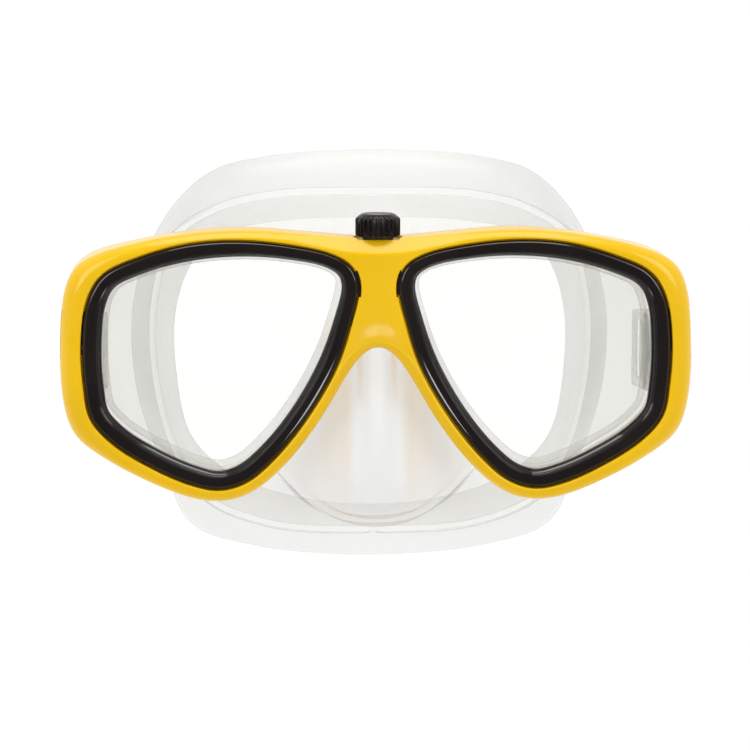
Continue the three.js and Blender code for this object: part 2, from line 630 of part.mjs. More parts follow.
function knobSolid() {
  const around = [];
  const steps = KNOB.ribs * 3;
  for (let i = 0; i < steps; i++) {
    const angle = (i * 2 * Math.PI) / steps;
    const radius = KNOB.radius - (i % 3 < 2 ? 0 : KNOB.rib);
    around.push([radius * Math.cos(angle), radius * Math.sin(angle)]);
  }
  const ribbed = prism(around, "z", KNOB.bottom, KNOB.top);
  const crown = turned(
    [[0, KNOB.bottom - 1], [KNOB.radius + 1, KNOB.bottom - 1], [KNOB.radius + 1, KNOB.shoulder - 0.7],
      [KNOB.crown, KNOB.top], [0, KNOB.top]],
    "z", [0, 0, 0], 40,
  );
  const slot = box([-4.6, -0.6, KNOB.top - 1], [4.6, 0.6, KNOB.top + 1]);
  const socket = rod(SCREW.hole, KNOB.bottom - 1, SCREW.high + SEAT, "z", [0, 0, 0]);
  return ribbed.intersect(crown).subtract(slot).subtract(socket).translate([0, KNOB.y, 0]);
}

function ringSolid(inner, outer, low, high, axis, centre, sides = 20) {
  return rod(outer, low, high, axis, centre, sides).subtract(rod(inner, low - 1, high + 1, axis, centre, sides));
}

function clipSolid() {
  const ring = ringSolid(CLIP.inner, CLIP.outer, CLIP.low, CLIP.high, "z", [0, KNOB.y, 0]);
  return ring.subtract(box([-CLIP.gap, KNOB.y, CLIP.low - 1], [CLIP.gap, BEYOND, CLIP.high + 1]));
}

function wedgeSolid() {
  const w = WEDGE;
  const flanks = prism([[-w.lowHalf, w.low], [w.lowHalf, w.low], [w.highHalf, w.high], [-w.highHalf, w.high]],
    "y", w.front, w.flankBack);
  const core = box([-w.half, w.front, w.low], [w.half, w.back, w.high]);
  return flanks.add(core).subtract(rod(SCREW.hole, w.low - 1, w.high + 1, "z", [0, KNOB.y, 0]));
}

function coverSolid() {
  const c = COVER;
  const [h, r] = [c.half, c.corner];
  const outline = [[-h, c.low + r], [-h + r, c.low], [h - r, c.low], [h, c.low + r],
    [h, c.high - r], [h - r, c.high], [-h + r, c.high], [-h, c.high - r]];
  let cover = prism(outline, "y", c.front, c.back);
  for (const z of Object.values(COVER_SCREWS)) {
    cover = cover.subtract(rod(COVER_SCREW.hole, c.front - 1, c.back + 1, "y", [0, 0, z]));
    cover = cover.subtract(rod(COVER_SCREW.recess, c.back - COVER_SCREW.sink, c.back + 1, "y", [0, 0, z]));
  }
  return cover;
}

function coverScrew(z) {
  const { tip, shank, head, sink, slot } = COVER_SCREW;
  const [neck, top] = [COVER.back - sink + 0.15, COVER.back - 0.05];
  const screw = turned([[0, tip], [shank, tip], [shank, neck], [head, neck], [head, top], [0, top]], "y", [0, 0, z], 16);
  return screw.subtract(box([-1.2, COVER.back - 0.4, z - slot], [1.2, BEYOND, z + slot]));
}

// ---------------------------------------------------------------- strap buckle, about its own pivot

// Buckle pieces are drawn with X out from the head, Y back along the strap and Z up, then set on the temple.
function place(solid) {
  const turn = THREE.MathUtils.radToDeg(BUCKLE.turn);
  return solid.rotate([0, 0, turn]).translate([BUCKLE.x, BUCKLE.y, BUCKLE.z]);
}

const ROLLER = { x: 5.0, y: 18.0, radius: 2.1, half: 8.2, bore: 1.05, teeth: 12 };
const LEVER = { x: 6.0, y: 8.6, half: 8.2 };
const PIN_RADIUS = 0.8;
const PIN_HALF = 10.9;

function mountSolid() {
  return ringSolid(1.8, 5.4, 0, 1.4, "x", [0, 0, 0], 28);
}

function rivetSolid() {
  return turned([[0, 0.1], [1.5, 0.1], [1.5, 3.7], [3.0, 3.7], [2.6, 4.5], [0, 4.5]], "x", [0, 0, 0], 20);
}

function buckleBody() {
  const plate = [[-5, -2.5], [-4, -4.6], [-1.5, -5.8], [3, -6.4], [6, -9.5], [8, -11], [20.4, -11], [21.4, -10],
    [21.4, 10], [20.4, 11], [8, 11], [6, 9.5], [3, 6.4], [-1.5, 5.8], [-4, 4.6], [-5, 2.5]];
  const base = prism(plate, "x", 1.7, 3.1);
  const cheek = [[6.2, 2.9], [8, 7.6], [17.5, 7.6], [20.4, 6.4], [21.4, 4.6], [21.4, 2.9]];
  const cheeks = [1, -1].map((side) => {
    const [low, high] = side > 0 ? [8.6, 11] : [-11, -8.6];
    return prism(cheek.map(([y, x]) => [x, y]), "z", low, high);
  });
  let body = base.add(cheeks[0]).add(cheeks[1]);
  const cuts = [
    rod(1.8, 0, 5, "x", [0, 0, 0]),
    box([1, 14.6, -8.4], [3.5, 20.2, 8.4]),
    rod(PIN_RADIUS + 0.15, -12, 12, "z", [ROLLER.x, ROLLER.y, 0]),
    rod(PIN_RADIUS + 0.15, -12, 12, "z", [LEVER.x, LEVER.y, 0]),
  ];
  for (const cut of cuts) body = body.subtract(cut);
  return body;
}

function rollerSolid() {
  const outline = [];
  for (let i = 0; i < ROLLER.teeth * 2; i++) {
    const angle = (i * Math.PI) / ROLLER.teeth;
    const radius = ROLLER.radius - (i % 2 ? 0.3 : 0);
    outline.push([ROLLER.x + radius * Math.cos(angle), ROLLER.y + radius * Math.sin(angle)]);
  }
  return prism(outline, "z", -ROLLER.half, ROLLER.half)
    .subtract(rod(ROLLER.bore, -12, 12, "z", [ROLLER.x, ROLLER.y, 0]));
}

function pinSolid({ x, y }) {
  return rod(PIN_RADIUS, -PIN_HALF, PIN_HALF, "z", [x, y, 0]);
}

function leverSolid() {
  const side = [[5.2, 10.6], [4.4, 14.6], [5.2, 15.2], [7.5, 13.2], [8.5, 8.6], [7.7, 3.0], [8.6, -1.5],
    [7.6, -2.2], [6.2, 2.5], [5.4, 6.0]];
  return prism(side, "z", -LEVER.half, LEVER.half)
    .subtract(rod(PIN_RADIUS + 0.15, -12, 12, "z", [LEVER.x, LEVER.y, 0]))
    .subtract(box([3.0, LEVER.y - 2.0, -3.2], [7.8, LEVER.y + 2.0, 3.2]));
}

function springSolid() {
  return ringSolid(PIN_RADIUS + 0.2, 1.5, -2.9, 2.9, "z", [LEVER.x, LEVER.y, 0], 16);
}

// ---------------------------------------------------------------- assembly

const mask = new THREE.Group();
mask.position.y = -REACH;

function add(name, solid, look) {
  const mesh = new THREE.Mesh(geometryFrom(solid), new THREE.MeshStandardMaterial(MATERIALS[look]));
  mesh.name = name;
  mask.add(mesh);
}

add("frame", frameSolid(), "frame");
add("skirt", skirtSolid(), "silicone");
add("knob", knobSolid(), "knob");
add("knob_washer", ringSolid(SCREW.hole, WASHER.radius, WASHER.low, WASHER.high, "z", [0, KNOB.y, 0]), "gasket");
add("lock_screw", rod(SCREW.radius, SCREW.low, SCREW.high, "z", [0, KNOB.y, 0]), "steel");
add("retaining_clip", clipSolid(), "steel");
add("lock_wedge", wedgeSolid(), "black");
add("bridge_cover", coverSolid(), "black");
for (const [name, z] of Object.entries(COVER_SCREWS)) add(`cover_screw_${name}`, coverScrew(z), "steel");

for (const [name, side] of [["left", 1], ["right", -1]]) {
  add(`bezel_${name}`, bezelSolid(side), "black");
  add(`lens_${name}`, glassSolid(side), "glass");
  add(`lens_gasket_${name}`, gasketSolid(side), "gasket");
  const buckle = {
    buckle_mount: [mountSolid(), "clear"],
    pivot_rivet: [rivetSolid(), "steel"],
    buckle_body: [buckleBody(), "clear"],
    strap_roller: [rollerSolid(), "clear"],
    roller_pin: [pinSolid(ROLLER), "steel"],
    release_lever: [leverSolid(), "clear"],
    lever_pin: [pinSolid(LEVER), "steel"],
    lever_spring: [springSolid(), "steel"],
  };
  for (const [piece, [solid, look]] of Object.entries(buckle)) {
    const placed = place(solid);
    add(`${piece}_${name}`, side > 0 ? placed : placed.mirror([1, 0, 0]), look);
  }
}

export default mask;
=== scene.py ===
import math

import bmesh
import bpy
import numpy as np
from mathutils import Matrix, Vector


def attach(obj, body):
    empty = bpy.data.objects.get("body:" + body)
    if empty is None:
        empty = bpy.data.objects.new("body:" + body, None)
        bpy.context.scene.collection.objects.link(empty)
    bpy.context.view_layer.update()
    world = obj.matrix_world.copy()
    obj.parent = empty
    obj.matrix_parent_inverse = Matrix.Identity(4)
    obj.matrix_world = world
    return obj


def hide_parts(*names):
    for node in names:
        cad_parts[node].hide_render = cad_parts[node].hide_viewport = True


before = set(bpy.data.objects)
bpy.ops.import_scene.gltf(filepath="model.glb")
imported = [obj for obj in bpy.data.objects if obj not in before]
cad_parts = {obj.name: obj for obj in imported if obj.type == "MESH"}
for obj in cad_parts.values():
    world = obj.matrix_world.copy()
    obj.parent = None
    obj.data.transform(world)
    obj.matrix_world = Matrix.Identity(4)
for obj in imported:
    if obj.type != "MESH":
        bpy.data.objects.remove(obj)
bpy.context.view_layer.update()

# Millimetres, as the CAD draws them: Y is 0 at the front plane of the windows and grows towards the face.
REACH = 62.0
SWEEP = math.tan(math.radians(5))
BRIDGE_FLAT = 6.0
CLEAR = 0.35

# The wearer's left lens unit, as x, z and the width of its black ring.
LENS_OUTLINE = [
    (5.4, 18.6, 4.5), (7.1, 23.8, 4.3), (12.6, 27.2, 3.9), (25.1, 29.8, 4.0), (38.5, 30.8, 4.4),
    (51.9, 29.7, 4.7), (64.8, 26.1, 4.6), (74.6, 21.3, 4.7), (78.7, 14.5, 5.1), (80.4, 2, 5.4),
    (79.8, -10, 5.3), (78.2, -18.1, 5.3), (72.1, -24.9, 5.2), (61.5, -31.4, 5.2), (51.6, -35.7, 5.2),
    (43.4, -37.3, 5.0), (35.8, -35.0, 4.9), (27.7, -27.9, 4.8), (18.8, -16.4, 4.8), (11.3, -3.1, 5.0),
    (7.5, 8.5, 4.7),
]
SEAT_EDGE = 2.1
RING_WIDTH = 5.1
FRAME_TOP = (0, 31.4)
NOSE_ARCH = (0, 2.8)
FRAME_SIDE = [
    (7, 31.6), (20, 32.6), (33, 33.6), (45, 33.3), (57, 31.8), (67, 29.7), (76, 27.0), (82.8, 23.0),
    (85.6, 15), (86.6, 4), (86.5, -8), (85.5, -16.3), (82.7, -23.7), (76.6, -28.2), (67.4, -33.3),
    (57.3, -37.9), (49.6, -40.4), (43.5, -41.0), (37.9, -40.1), (32.8, -37.4), (26.3, -31.7), (19.6, -23.7),
    (13.3, -14.2), (8.9, -6.4), (4.6, -0.3),
]
LOOP_SAMPLES = 480
LOOP_PASSES = 18

# The frame. Its sections stand a step of the window's loop apart, and closer where they meet a bridge corner.
FRAME_STEP = 2.0
CORNER_REACH = 12
CORNER_STEPS = 8
FRONT_RINGS = 26
FRONT_START = 0.04
SIDE_RINGS = 5
FRAME_FRONT = 0.4
BRIDGE_BACK = 12.4
BRIDGE_MIDDLE = 0.5
BRIDGE_HALFWAY = 10
HOLE_DEPTHS = (6.5, 3.6, 1.5)
HOLE_ROUND = 0.5
REAR_ROUND = 0.5

# The rounded rear of the outer wall, as steps in from its outer and its inner face, and forward from its end.
REAR_OUTER = ((0.15, 0.15), (REAR_ROUND, 0))
REAR_INNER = ((0.4, 0), (0.1, 0.12), (0, 0.35))
LEDGE = {"front": 9.3, "back": 11.5, "inner": 3.6, "round": 0.3}
EDGE = {"radius": 3.2, "temple_radius": 5.2, "from": 68, "to": 82}
SHELF = {
    "middle": 4.1, "sides": 2.2, "near": 4, "far": 26, "slope": 0.8, "soft": 0.15, "above": 20,
    "fade_from": 58, "fade_to": 76,
}
DIP = {"near": 2.5, "far": 8, "depth": 0.32, "middle": 2, "half": 9, "low": -2, "high": 14}
WALL = {"thick": 2.2, "top": 13.4, "temple": 20, "from": 62, "to": 80}
ARCH = {"back": 11.7, "near": 28, "far": 38, "low": 0, "high": 6}

# What is cut into the bridge: the wedge's pocket and wings, the cover's seat, the knob's seat and the holes.
POCKET = ((-3.3, 3.6, 7.2), (3.3, 13.2, 25.5))
WINGS = ((-9, 3.6, 7.2), (9, 7.3, 18.6))
COVER_SEAT = ((-4.2, 10.3, 3.1), (4.2, 15, 29.4))
SPINDLE_HOLE = {"radius": 1.8, "low": 24.5, "high": 40, "sides": 48}
KNOB_SEAT = {"radius": 6.7, "low": 31.0, "high": 40, "sides": 96}
SCREW_HOLE = {"radius": 1.1, "front": 8.9, "back": 15, "sides": 32}
SCREW_HEIGHTS = (27.2, 5.3)

# The ring's locking tab beside the bridge, and its hook and the hook's slot at the temple.
TAB = {"low": 16.2, "high": 22.4, "proud": 0.5, "root": 1.2, "front": 1.2, "back": 3.4, "round": 0.15}
TAB_SAMPLES = 16
TAB_MIDDLE = 19
TAB_REACH = 9
TAB_RECESS_FRONT = -1.6
HOOK = {"from": 79.3, "to": 83.3, "middle": 81, "front": 4.8, "back": 6.9, "low": -1, "high": 11}
HOOK_ROUND = 0.35
HOOK_SLOT = {"from": 79, "to": 92, "middle": 83, "front": 3.9, "back": 8.1, "low": -1.7, "high": 11.7}
GLASS_RINGS = [(2.35, 4.1), (2.0, 4.45), (2.0, 6.65), (2.35, 7.0)]

KNOB = {"y": 7.0, "radius": 6.1, "bottom": 31.7, "shoulder": 36.6, "top": 37.9, "crown": 4.4, "ribs": 28}
RIB = {"depth": 0.42, "power": 0.7, "samples": 10}
COIN_SLOT = {"half_length": 3.9, "half_width": 0.6, "depth": 1.1, "round": 0.15}
SOCKET = {"radius": 1.8, "low": 30, "high": 35.5, "sides": 48}

# The skirt: its collar round each ring's ledge, then the curves it runs through, as x, y and z.
COLLAR = {
    "front": 7.4, "lip": 9.0, "lip_outer": 2.3, "neck": 4.0, "inner": 6.4, "rear": 11.8, "back": 13.6,
    "outer": 0.6,
}
# Where the wall meets the face seals, and the free edges of the outer and the inner seal.
RIM = [
    (0, 42, 41.3), (28, 43.2, 40.4), (44.5, 46.5, 36), (56, 51.5, 27.5), (62, 55, 8), (61.5, 54.5, -14),
    (56, 51.5, -34), (47, 48.5, -47), (30, 44, -53.5), (0, 40, -55),
]
OUTER_SEAL = [
    (0, 48, 52), (31, 49.6, 49.9), (46, 52, 45.3), (59.2, 56.5, 31.2), (67.5, 60.5, 9), (67, 60.5, -17),
    (59.3, 57.5, -40), (51.5, 54, -55.5), (34, 49.5, -61.0), (0, 45.5, -63.2),
]
INNER_SEAL = [
    (0, 42.5, 34), (26, 43.5, 33), (40.8, 46.5, 29.5), (50.5, 52, 21.5), (56.1, 57.5, 6), (56.1, 57.5, -12),
    (52, 55, -30), (41.5, 50, -40), (24, 44, -46), (0, 39.5, -48),
]
# The skirt's middle line under the nose, over the nose pocket and up the brow, as y and z.
MIDLINE = [
    (40, -55), (30, -50.5), (14, -48.5), (3.5, -45.5), (-1.5, -38.5), (1.5, -27), (6.2, -15), (11.2, -6),
    (14.4, 2), (14.8, 12), (14.7, 22), (17, 29), (26, 35), (42, 41.3),
]
# How the wall's runs spread from the window's loop to the rim and the middle line, and how they bulge.
SKIRT_LENS_TOP = (12.5, 27.5)
SKIRT_LENS_LOW = (31, -31.5)
RIM_LEAD = 0.76
START_DEPTH = 13.1
START_OFFSET = 3.5
RIM_STATIONS = 96
MIDLINE_STATIONS = 72
WALL_RINGS = 20
RING_CROWDING = 1.35
SEAL_RINGS = 8
TURN_START = 0.14
TURN_END = 0.86
NOSE_TURN_START = 0.12
LAG_EVEN = 0.2
LAG_POWER = 1.2
LEAVE_OUT = (0.06, 0.27)
LEAVE_BACK = (0.3, 0.34)
ARRIVE = 0.52
SEAL_MIDDLE = {"across": 0.62, "back": 0.22}

# Half thicknesses, and the seals' edges.
WALL_HALF = 1.05
SEAL_HALF = 0.6
EDGE_SWELL = 0.7
INNER_SEAL_LIP = {"samples": 9, "arch": 1, "root": 2.0, "edge": 0.7, "tip": 0.35}

SIDES = (("left", 1), ("right", -1))


# -------- curves and outlines

def between(low, high, share):
    """What lies a share of the way from low to high."""
    return low + (high - low) * share


def catmull(points, closed, samples_per_span):
    """A centripetal curve through points, as samples_per_span points to each span."""
    p = [np.array(q, float) for q in points]
    n = len(p)
    spans = n if closed else n - 1
    out = []
    for i in range(spans):
        if closed:
            q = [p[(i + k) % n] for k in (-1, 0, 1, 2)]
        else:
            before = p[i - 1] if i > 0 else 2 * p[0] - p[1]
            after = p[i + 2] if i + 2 < n else 2 * p[-1] - p[-2]
            q = [before, p[i], p[i + 1], after]
        d = [max(np.linalg.norm(q[k + 1] - q[k]) ** 0.5, 1e-4) for k in range(3)]
        t1 = (q[1] - q[0]) / d[0] - (q[2] - q[0]) / (d[0] + d[1]) + (q[2] - q[1]) / d[1]
        t2 = (q[2] - q[1]) / d[1] - (q[3] - q[1]) / (d[1] + d[2]) + (q[3] - q[2]) / d[2]
        t1, t2 = t1 * d[1], t2 * d[1]
        c2 = -3 * q[1] + 3 * q[2] - 2 * t1 - t2
        c3 = 2 * q[1] - 2 * q[2] + t1 + t2
        for s in range(samples_per_span):
            t = s / samples_per_span
            out.append(q[1] + t * (t1 + t * (c2 + t * c3)))
    if not closed:
        out.append(p[-1])
    return np.array(out)


class Curve:
    """An open curve whose parameter is the same for each span; mirrored, it runs square off the midline."""

    def __init__(self, points, mirrored=True):
        steps = 60
        if mirrored:
            (bx, by, bz), (ax, ay, az) = points[1], points[-2]
            self.line = catmull([(-bx, by, bz), *points, (-ax, ay, az)], False, steps)[steps:-steps]
        else:
            self.line = catmull(points, False, steps)

    def at(self, u):
        f = min(max(u, 0.0), 1.0) * (len(self.line) - 1)
        i = min(int(f), len(self.line) - 2)
        return between(self.line[i], self.line[i + 1], f - i)


def smooth_loop(points, samples=LOOP_SAMPLES, passes=LOOP_PASSES):
    """A smooth closed loop as rows of x, z, ring width, and the outward normal's x, z."""
    dense = catmull(points, True, 40)
    ring = np.vstack([dense, dense[:1]])
    run = np.concatenate([[0], np.cumsum(np.linalg.norm(np.diff(ring, axis=0), axis=1))])
    at = np.linspace(0, run[-1], samples, endpoint=False)
    p = np.stack([np.interp(at, run, ring[:, k]) for k in range(dense.shape[1])], axis=1)
    for _ in range(passes):
        p = (np.roll(p, 1, 0) + 2 * p + np.roll(p, -1, 0)) / 4
    along = (np.roll(p, -1, 0) - np.roll(p, 1, 0))[:, :2]
    along /= np.linalg.norm(along, axis=1)[:, None]
    width = p[:, 2:] if dense.shape[1] > 2 else np.full((samples, 1), RING_WIDTH)
    return np.hstack([p[:, :2], width, np.stack([-along[:, 1], along[:, 0]], axis=1)])


def smoothstep(value, low, high):
    """0 below low, 1 above high, and a smooth rise between, for numbers or arrays."""
    t = np.clip((value - low) / (high - low), 0, 1)
    return t * t * (3 - 2 * t)


def sweep(x):
    """How far the frame's sweep sets back what lies x from the middle."""
    a = np.abs(x)
    return SWEEP * np.where(a < BRIDGE_FLAT, a * a / (2 * BRIDGE_FLAT), a - BRIDGE_FLAT / 2)


def inset(station, offset, depth):
    """A point set in from the loop; past the window's seat, offsets follow the ring's own width."""
    x, z, width, nx, nz = station
    share = min(max((offset - SEAT_EDGE) / (RING_WIDTH - SEAT_EDGE), 0), 1)
    by = offset + share * (width - RING_WIDTH)
    return (x - nx * by, depth + float(sweep(x - nx * by)), z - nz * by)


LENS_LOOP = smooth_loop(LENS_OUTLINE)
FRAME_LOOP = smooth_loop([FRAME_TOP, *FRAME_SIDE, NOSE_ARCH, *[(-x, z) for x, z in reversed(FRAME_SIDE)]])


def loop_index(point):
    """The sample of the window's loop nearest to a point."""
    return int(np.hypot(LENS_LOOP[:, 0] - point[0], LENS_LOOP[:, 1] - point[1]).argmin())


def loop_at(index):
    """The window's loop between two samples."""
    n = len(LENS_LOOP)
    i = math.floor(index)
    t = index - i
    return LENS_LOOP[i % n] * (1 - t) + LENS_LOOP[(i + 1) % n] * t


def ease(value, low, high):
    """smoothstep() for one number."""
    return float(smoothstep(value, low, high))


def filleted(corners, steps=4):
    """A closed outline of (offset, depth, radius) corners with each corner rounded in steps."""
    out = []
    n = len(corners)
    for i in range(n):
        p = np.array(corners[i][:2], float)
        a = np.array(corners[i - 1][:2], float) - p
        b = np.array(corners[(i + 1) % n][:2], float) - p
        la, lb = np.linalg.norm(a), np.linalg.norm(b)
        r = min(corners[i][2], la * 0.49, lb * 0.49)
        if r < 1e-6:
            out.append(tuple(p))
            continue
        start, end = p + a / la * r, p + b / lb * r
        for s in range(steps + 1):
            t = s / steps
            out.append(tuple((1 - t) ** 2 * start + 2 * t * (1 - t) * p + t * t * end))
    return out


# -------- meshes

def placed(name, data):
    """A new object in the scene."""
    obj = bpy.data.objects.new(name, data)
    bpy.context.scene.collection.objects.link(obj)
    return obj


def make(name, points, faces, sharp=35.0):
    """A mesh from points in the CAD's millimetres, set in the row frame in metres."""
    data = bpy.data.meshes.new(name)
    co = [(x / 1000, (y - REACH) / 1000, z / 1000) for x, y, z in points]
    data.from_pydata(co, [], [tuple(int(i) for i in f) for f in faces])
    data.validate()
    obj = placed(name, data)
    tidy(obj)
    shade(obj, sharp)
    return obj


def tidy(obj, merge=1e-6):
    """Merges double points and turns every face outwards."""
    bm = bmesh.new()
    bm.from_mesh(obj.data)
    bmesh.ops.remove_doubles(bm, verts=bm.verts, dist=merge)
    bmesh.ops.dissolve_degenerate(bm, edges=bm.edges, dist=1e-7)
    bmesh.ops.recalc_face_normals(bm, faces=bm.faces)
    if bm.calc_volume(signed=True) < 0:
        bmesh.ops.reverse_faces(bm, faces=bm.faces)
    bm.to_mesh(obj.data)
    bm.free()


def shade(obj, sharp):
    """Smooth shading, apart from edges that turn by more than sharp degrees."""
    bm = bmesh.new()
    bm.from_mesh(obj.data)
    limit = math.radians(sharp)
    for face in bm.faces:
        face.smooth = True
    for edge in bm.edges:
        edge.smooth = len(edge.link_faces) != 2 or edge.calc_face_angle(0) < limit
    bm.to_mesh(obj.data)
    bm.free()


def strip(sections, closed=True):
    """Points and faces of a tube through closed sections, which meets itself or is capped at both ends."""
    n, m = len(sections), len(sections[0])
    points = [p for s in sections for p in s]
    faces = []
    for i in range(n if closed else n - 1):
        k = (i + 1) % n
        for j in range(m):
            l = (j + 1) % m
            faces.append((i * m + j, i * m + l, k * m + l, k * m + j))
    if not closed:
        faces.append(tuple(reversed(range(m))))
        faces.append(tuple((n - 1) * m + j for j in range(m)))
    return points, faces


def mirror(points, faces):
    return [(-x, y, z) for x, y, z in points], [tuple(reversed(f)) for f in faces]


def cuboid(name, low, high):
    (x0, y0, z0), (x1, y1, z1) = low, high
    points = [(x, y, z) for z in (z0, z1) for y in (y0, y1) for x in (x0, x1)]
    faces = [(0, 2, 3, 1), (4, 5, 7, 6), (0, 1, 5, 4), (2, 6, 7, 3), (0, 4, 6, 2), (1, 3, 7, 5)]
    return make(name, points, faces)


def turned(name, profile, axis, centre, sides=64, sharp=35.0):
    """A solid of revolution from (radius, height) points that run from the axis back to the axis."""
    points, rows = [], []
    for r, h in profile:
        row = []
        for s in range(1 if r < 1e-9 else sides):
            a = 2 * math.pi * s / sides
            u, v = r * math.cos(a), r * math.sin(a)
            local = {"x": (h, u, v), "y": (v, h, u), "z": (u, v, h)}[axis]
            row.append(len(points))
            points.append(tuple(c + l for c, l in zip(centre, local)))
        rows.append(row)
    faces = []
    for a, b in zip(rows, rows[1:]):
        for s in range(sides):
            t = (s + 1) % sides
            corners = [a[s % len(a)], a[t % len(a)], b[t % len(b)], b[s % len(b)]]
            kept = list(dict.fromkeys(corners))
            if len(kept) > 2:
                faces.append(tuple(kept))
    return make(name, points, faces, sharp)


def boolean(obj, others, operation="DIFFERENCE"):
    """Cuts obj by others, or joins them to it, and removes them."""
    for other in others:
        cut = obj.modifiers.new("cut", "BOOLEAN")
        cut.operation = operation
        cut.solver = "EXACT"
        cut.object = other
        bake(obj)
        bpy.data.objects.remove(other)


def bake(obj):
    """Replaces obj's mesh by what its modifiers make of it."""
    bpy.context.view_layer.update()
    evaluated = obj.evaluated_get(bpy.context.evaluated_depsgraph_get())
    data = bpy.data.meshes.new_from_object(evaluated)
    old = obj.data
    obj.modifiers.clear()
    obj.data = data
    bpy.data.meshes.remove(old)


def bevel(obj, width, segments=2, angle=30.0):
    """Rounds the edges, with the width in millimetres."""
    rounding = obj.modifiers.new("bevel", "BEVEL")
    rounding.width = width / 1000
    rounding.segments = segments
    rounding.limit_method = "ANGLE"
    rounding.angle_limit = math.radians(angle)
    rounding.harden_normals = False
    rounding.use_clamp_overlap = True
    bake(obj)


def copied(node, name, width=0.25, segments=2, sharp=40.0):
    """A finer copy of a CAD node: the same solid with its edges rounded."""
    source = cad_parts[node]
    data = source.data.copy()
    obj = placed(name, data)
    bm = bmesh.new()
    bm.from_mesh(data)
    bmesh.ops.remove_doubles(bm, verts=bm.verts, dist=1e-6)
    bmesh.ops.dissolve_limit(bm, angle_limit=math.radians(1.0), verts=bm.verts, edges=bm.edges)
    bmesh.ops.recalc_face_normals(bm, faces=bm.faces)
    bm.to_mesh(data)
    bm.free()
    if width:
        bevel(obj, width, segments)
    shade(obj, sharp)
    return obj


def finish_piece(obj, look, body, slot, *nodes):
    """Gives a piece its look and its body, and hides the CAD nodes it stands for. The slot argument is not
    used.
    """
    obj.data.materials.clear()
    obj.data.materials.append(look)
    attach(obj, body)
    if nodes:
        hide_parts(*nodes)
    return obj


# -------- materials

def preset(node, sockets):
    """Sets a node's sockets by their names."""
    for socket, value in sockets.items():
        node.inputs[socket.replace("_", " ")].default_value = value
    return node


def added(tree, kind, **sockets):
    """A new node in the tree, with its sockets set."""
    return preset(tree.nodes.new(f"ShaderNode{kind}"), sockets)


def principled(name, **sockets):
    """A material with its tree and its shader, with the shader's sockets set."""
    made = bpy.data.materials.new(name)
    made.use_nodes = True
    return made, made.node_tree, preset(made.node_tree.nodes["Principled BSDF"], sockets)


def noise(tree, scale, detail=3.0, roughness=0.5):
    """Noise fixed to the piece, scale to the metre."""
    where = added(tree, "TexCoord")
    texture = added(tree, "TexNoise", Scale=scale, Detail=detail, Roughness=roughness)
    tree.links.new(where.outputs["Object"], texture.inputs["Vector"])
    return texture.outputs["Fac"]


def ranged(tree, value, low, high, start=0.35, stop=0.65):
    """A value that runs from low to high as the given one goes from start to stop."""
    spread = added(tree, "MapRange", From_Min=start, From_Max=stop, To_Min=low, To_Max=high)
    tree.links.new(value, spread.inputs["Value"])
    return spread.outputs["Result"]


def tinted(tree, value, first, second):
    """A colour that goes from the first to the second with the value."""
    mix = added(tree, "Mix")
    mix.data_type = "RGBA"
    for end, colour in (("A", first), ("B", second)):
        if isinstance(colour, tuple):
            mix.inputs[end].default_value = (*colour, 1)
        else:
            tree.links.new(colour, mix.inputs[end])
    tree.links.new(value, mix.inputs["Factor"])
    return mix.outputs["Result"]


def bumped(tree, shader, height, strength, distance):
    bump = added(tree, "Bump", Strength=strength, Distance=distance)
    tree.links.new(height, bump.inputs["Height"])
    tree.links.new(bump.outputs["Normal"], shader.inputs["Normal"])


def drifting(name, first, second, rough, drift, gloss, **sockets):
    """A material whose colour drifts slowly between two, and its gloss a little faster."""
    made, tree, shader = principled(name, **sockets)
    colour = tinted(tree, ranged(tree, noise(tree, *drift), 0, 1), first, second)
    tree.links.new(colour, shader.inputs["Base Color"])
    tree.links.new(ranged(tree, noise(tree, *gloss), *rough), shader.inputs["Roughness"])
    return made, tree, shader


def moulded(name, first, second, rough, grain_scale, grain, **sockets):
    """A moulded plastic, rubber or metal with a fine grain."""
    made, tree, shader = drifting(name, first, second, rough, (45, 3), (160, 4), **sockets)
    bumped(tree, shader, noise(tree, grain_scale, 5), 0.25, grain)
    return made


YELLOW = moulded(
    "yellow_plastic", first=(0.79, 0.475, 0.003), second=(0.83, 0.50, 0.005), rough=(0.16, 0.24),
    grain_scale=420, grain=0.00002, Coat_Weight=0.1, Coat_Roughness=0.04, Specular_IOR_Level=0.28,
)
BLACK = moulded(
    "black_plastic", first=(0.008, 0.005, 0.005), second=(0.012, 0.008, 0.008), rough=(0.04, 0.08),
    grain_scale=700, grain=0.00001, Specular_IOR_Level=0.6,
)
KNOB_BLACK = moulded(
    "knob_plastic", first=(0.005, 0.002, 0.002), second=(0.008, 0.004, 0.004), rough=(0.16, 0.26),
    grain_scale=1500, grain=0.00003, Specular_IOR_Level=0.3,
)
RUBBER = moulded(
    "gasket_rubber", first=(0.016, 0.016, 0.016), second=(0.026, 0.025, 0.025), rough=(0.5, 0.65),
    grain_scale=1800, grain=0.00003,
)
STEEL = moulded(
    "stainless_steel", first=(0.52, 0.53, 0.54), second=(0.62, 0.62, 0.63), rough=(0.2, 0.34),
    grain_scale=2500, grain=0.00001, Metallic=1.0,
)


def maths(tree, operation, first, second=None):
    """The result of a sum on one value or two, each a socket or a number."""
    node = added(tree, "Math")
    node.operation = operation
    for place, value in enumerate((first, second)):
        if isinstance(value, (int, float)):
            node.inputs[place].default_value = value
        elif value is not None:
            tree.links.new(value, node.inputs[place])
    return node.outputs["Value"]


def places(tree):
    """How far a point lies from the middle, its depth and its height, in metres."""
    where = added(tree, "TexCoord")
    place = added(tree, "SeparateXYZ")
    tree.links.new(where.outputs["Object"], place.inputs["Vector"])
    return maths(tree, "ABSOLUTE", place.outputs["X"]), place.outputs["Y"], place.outputs["Z"]


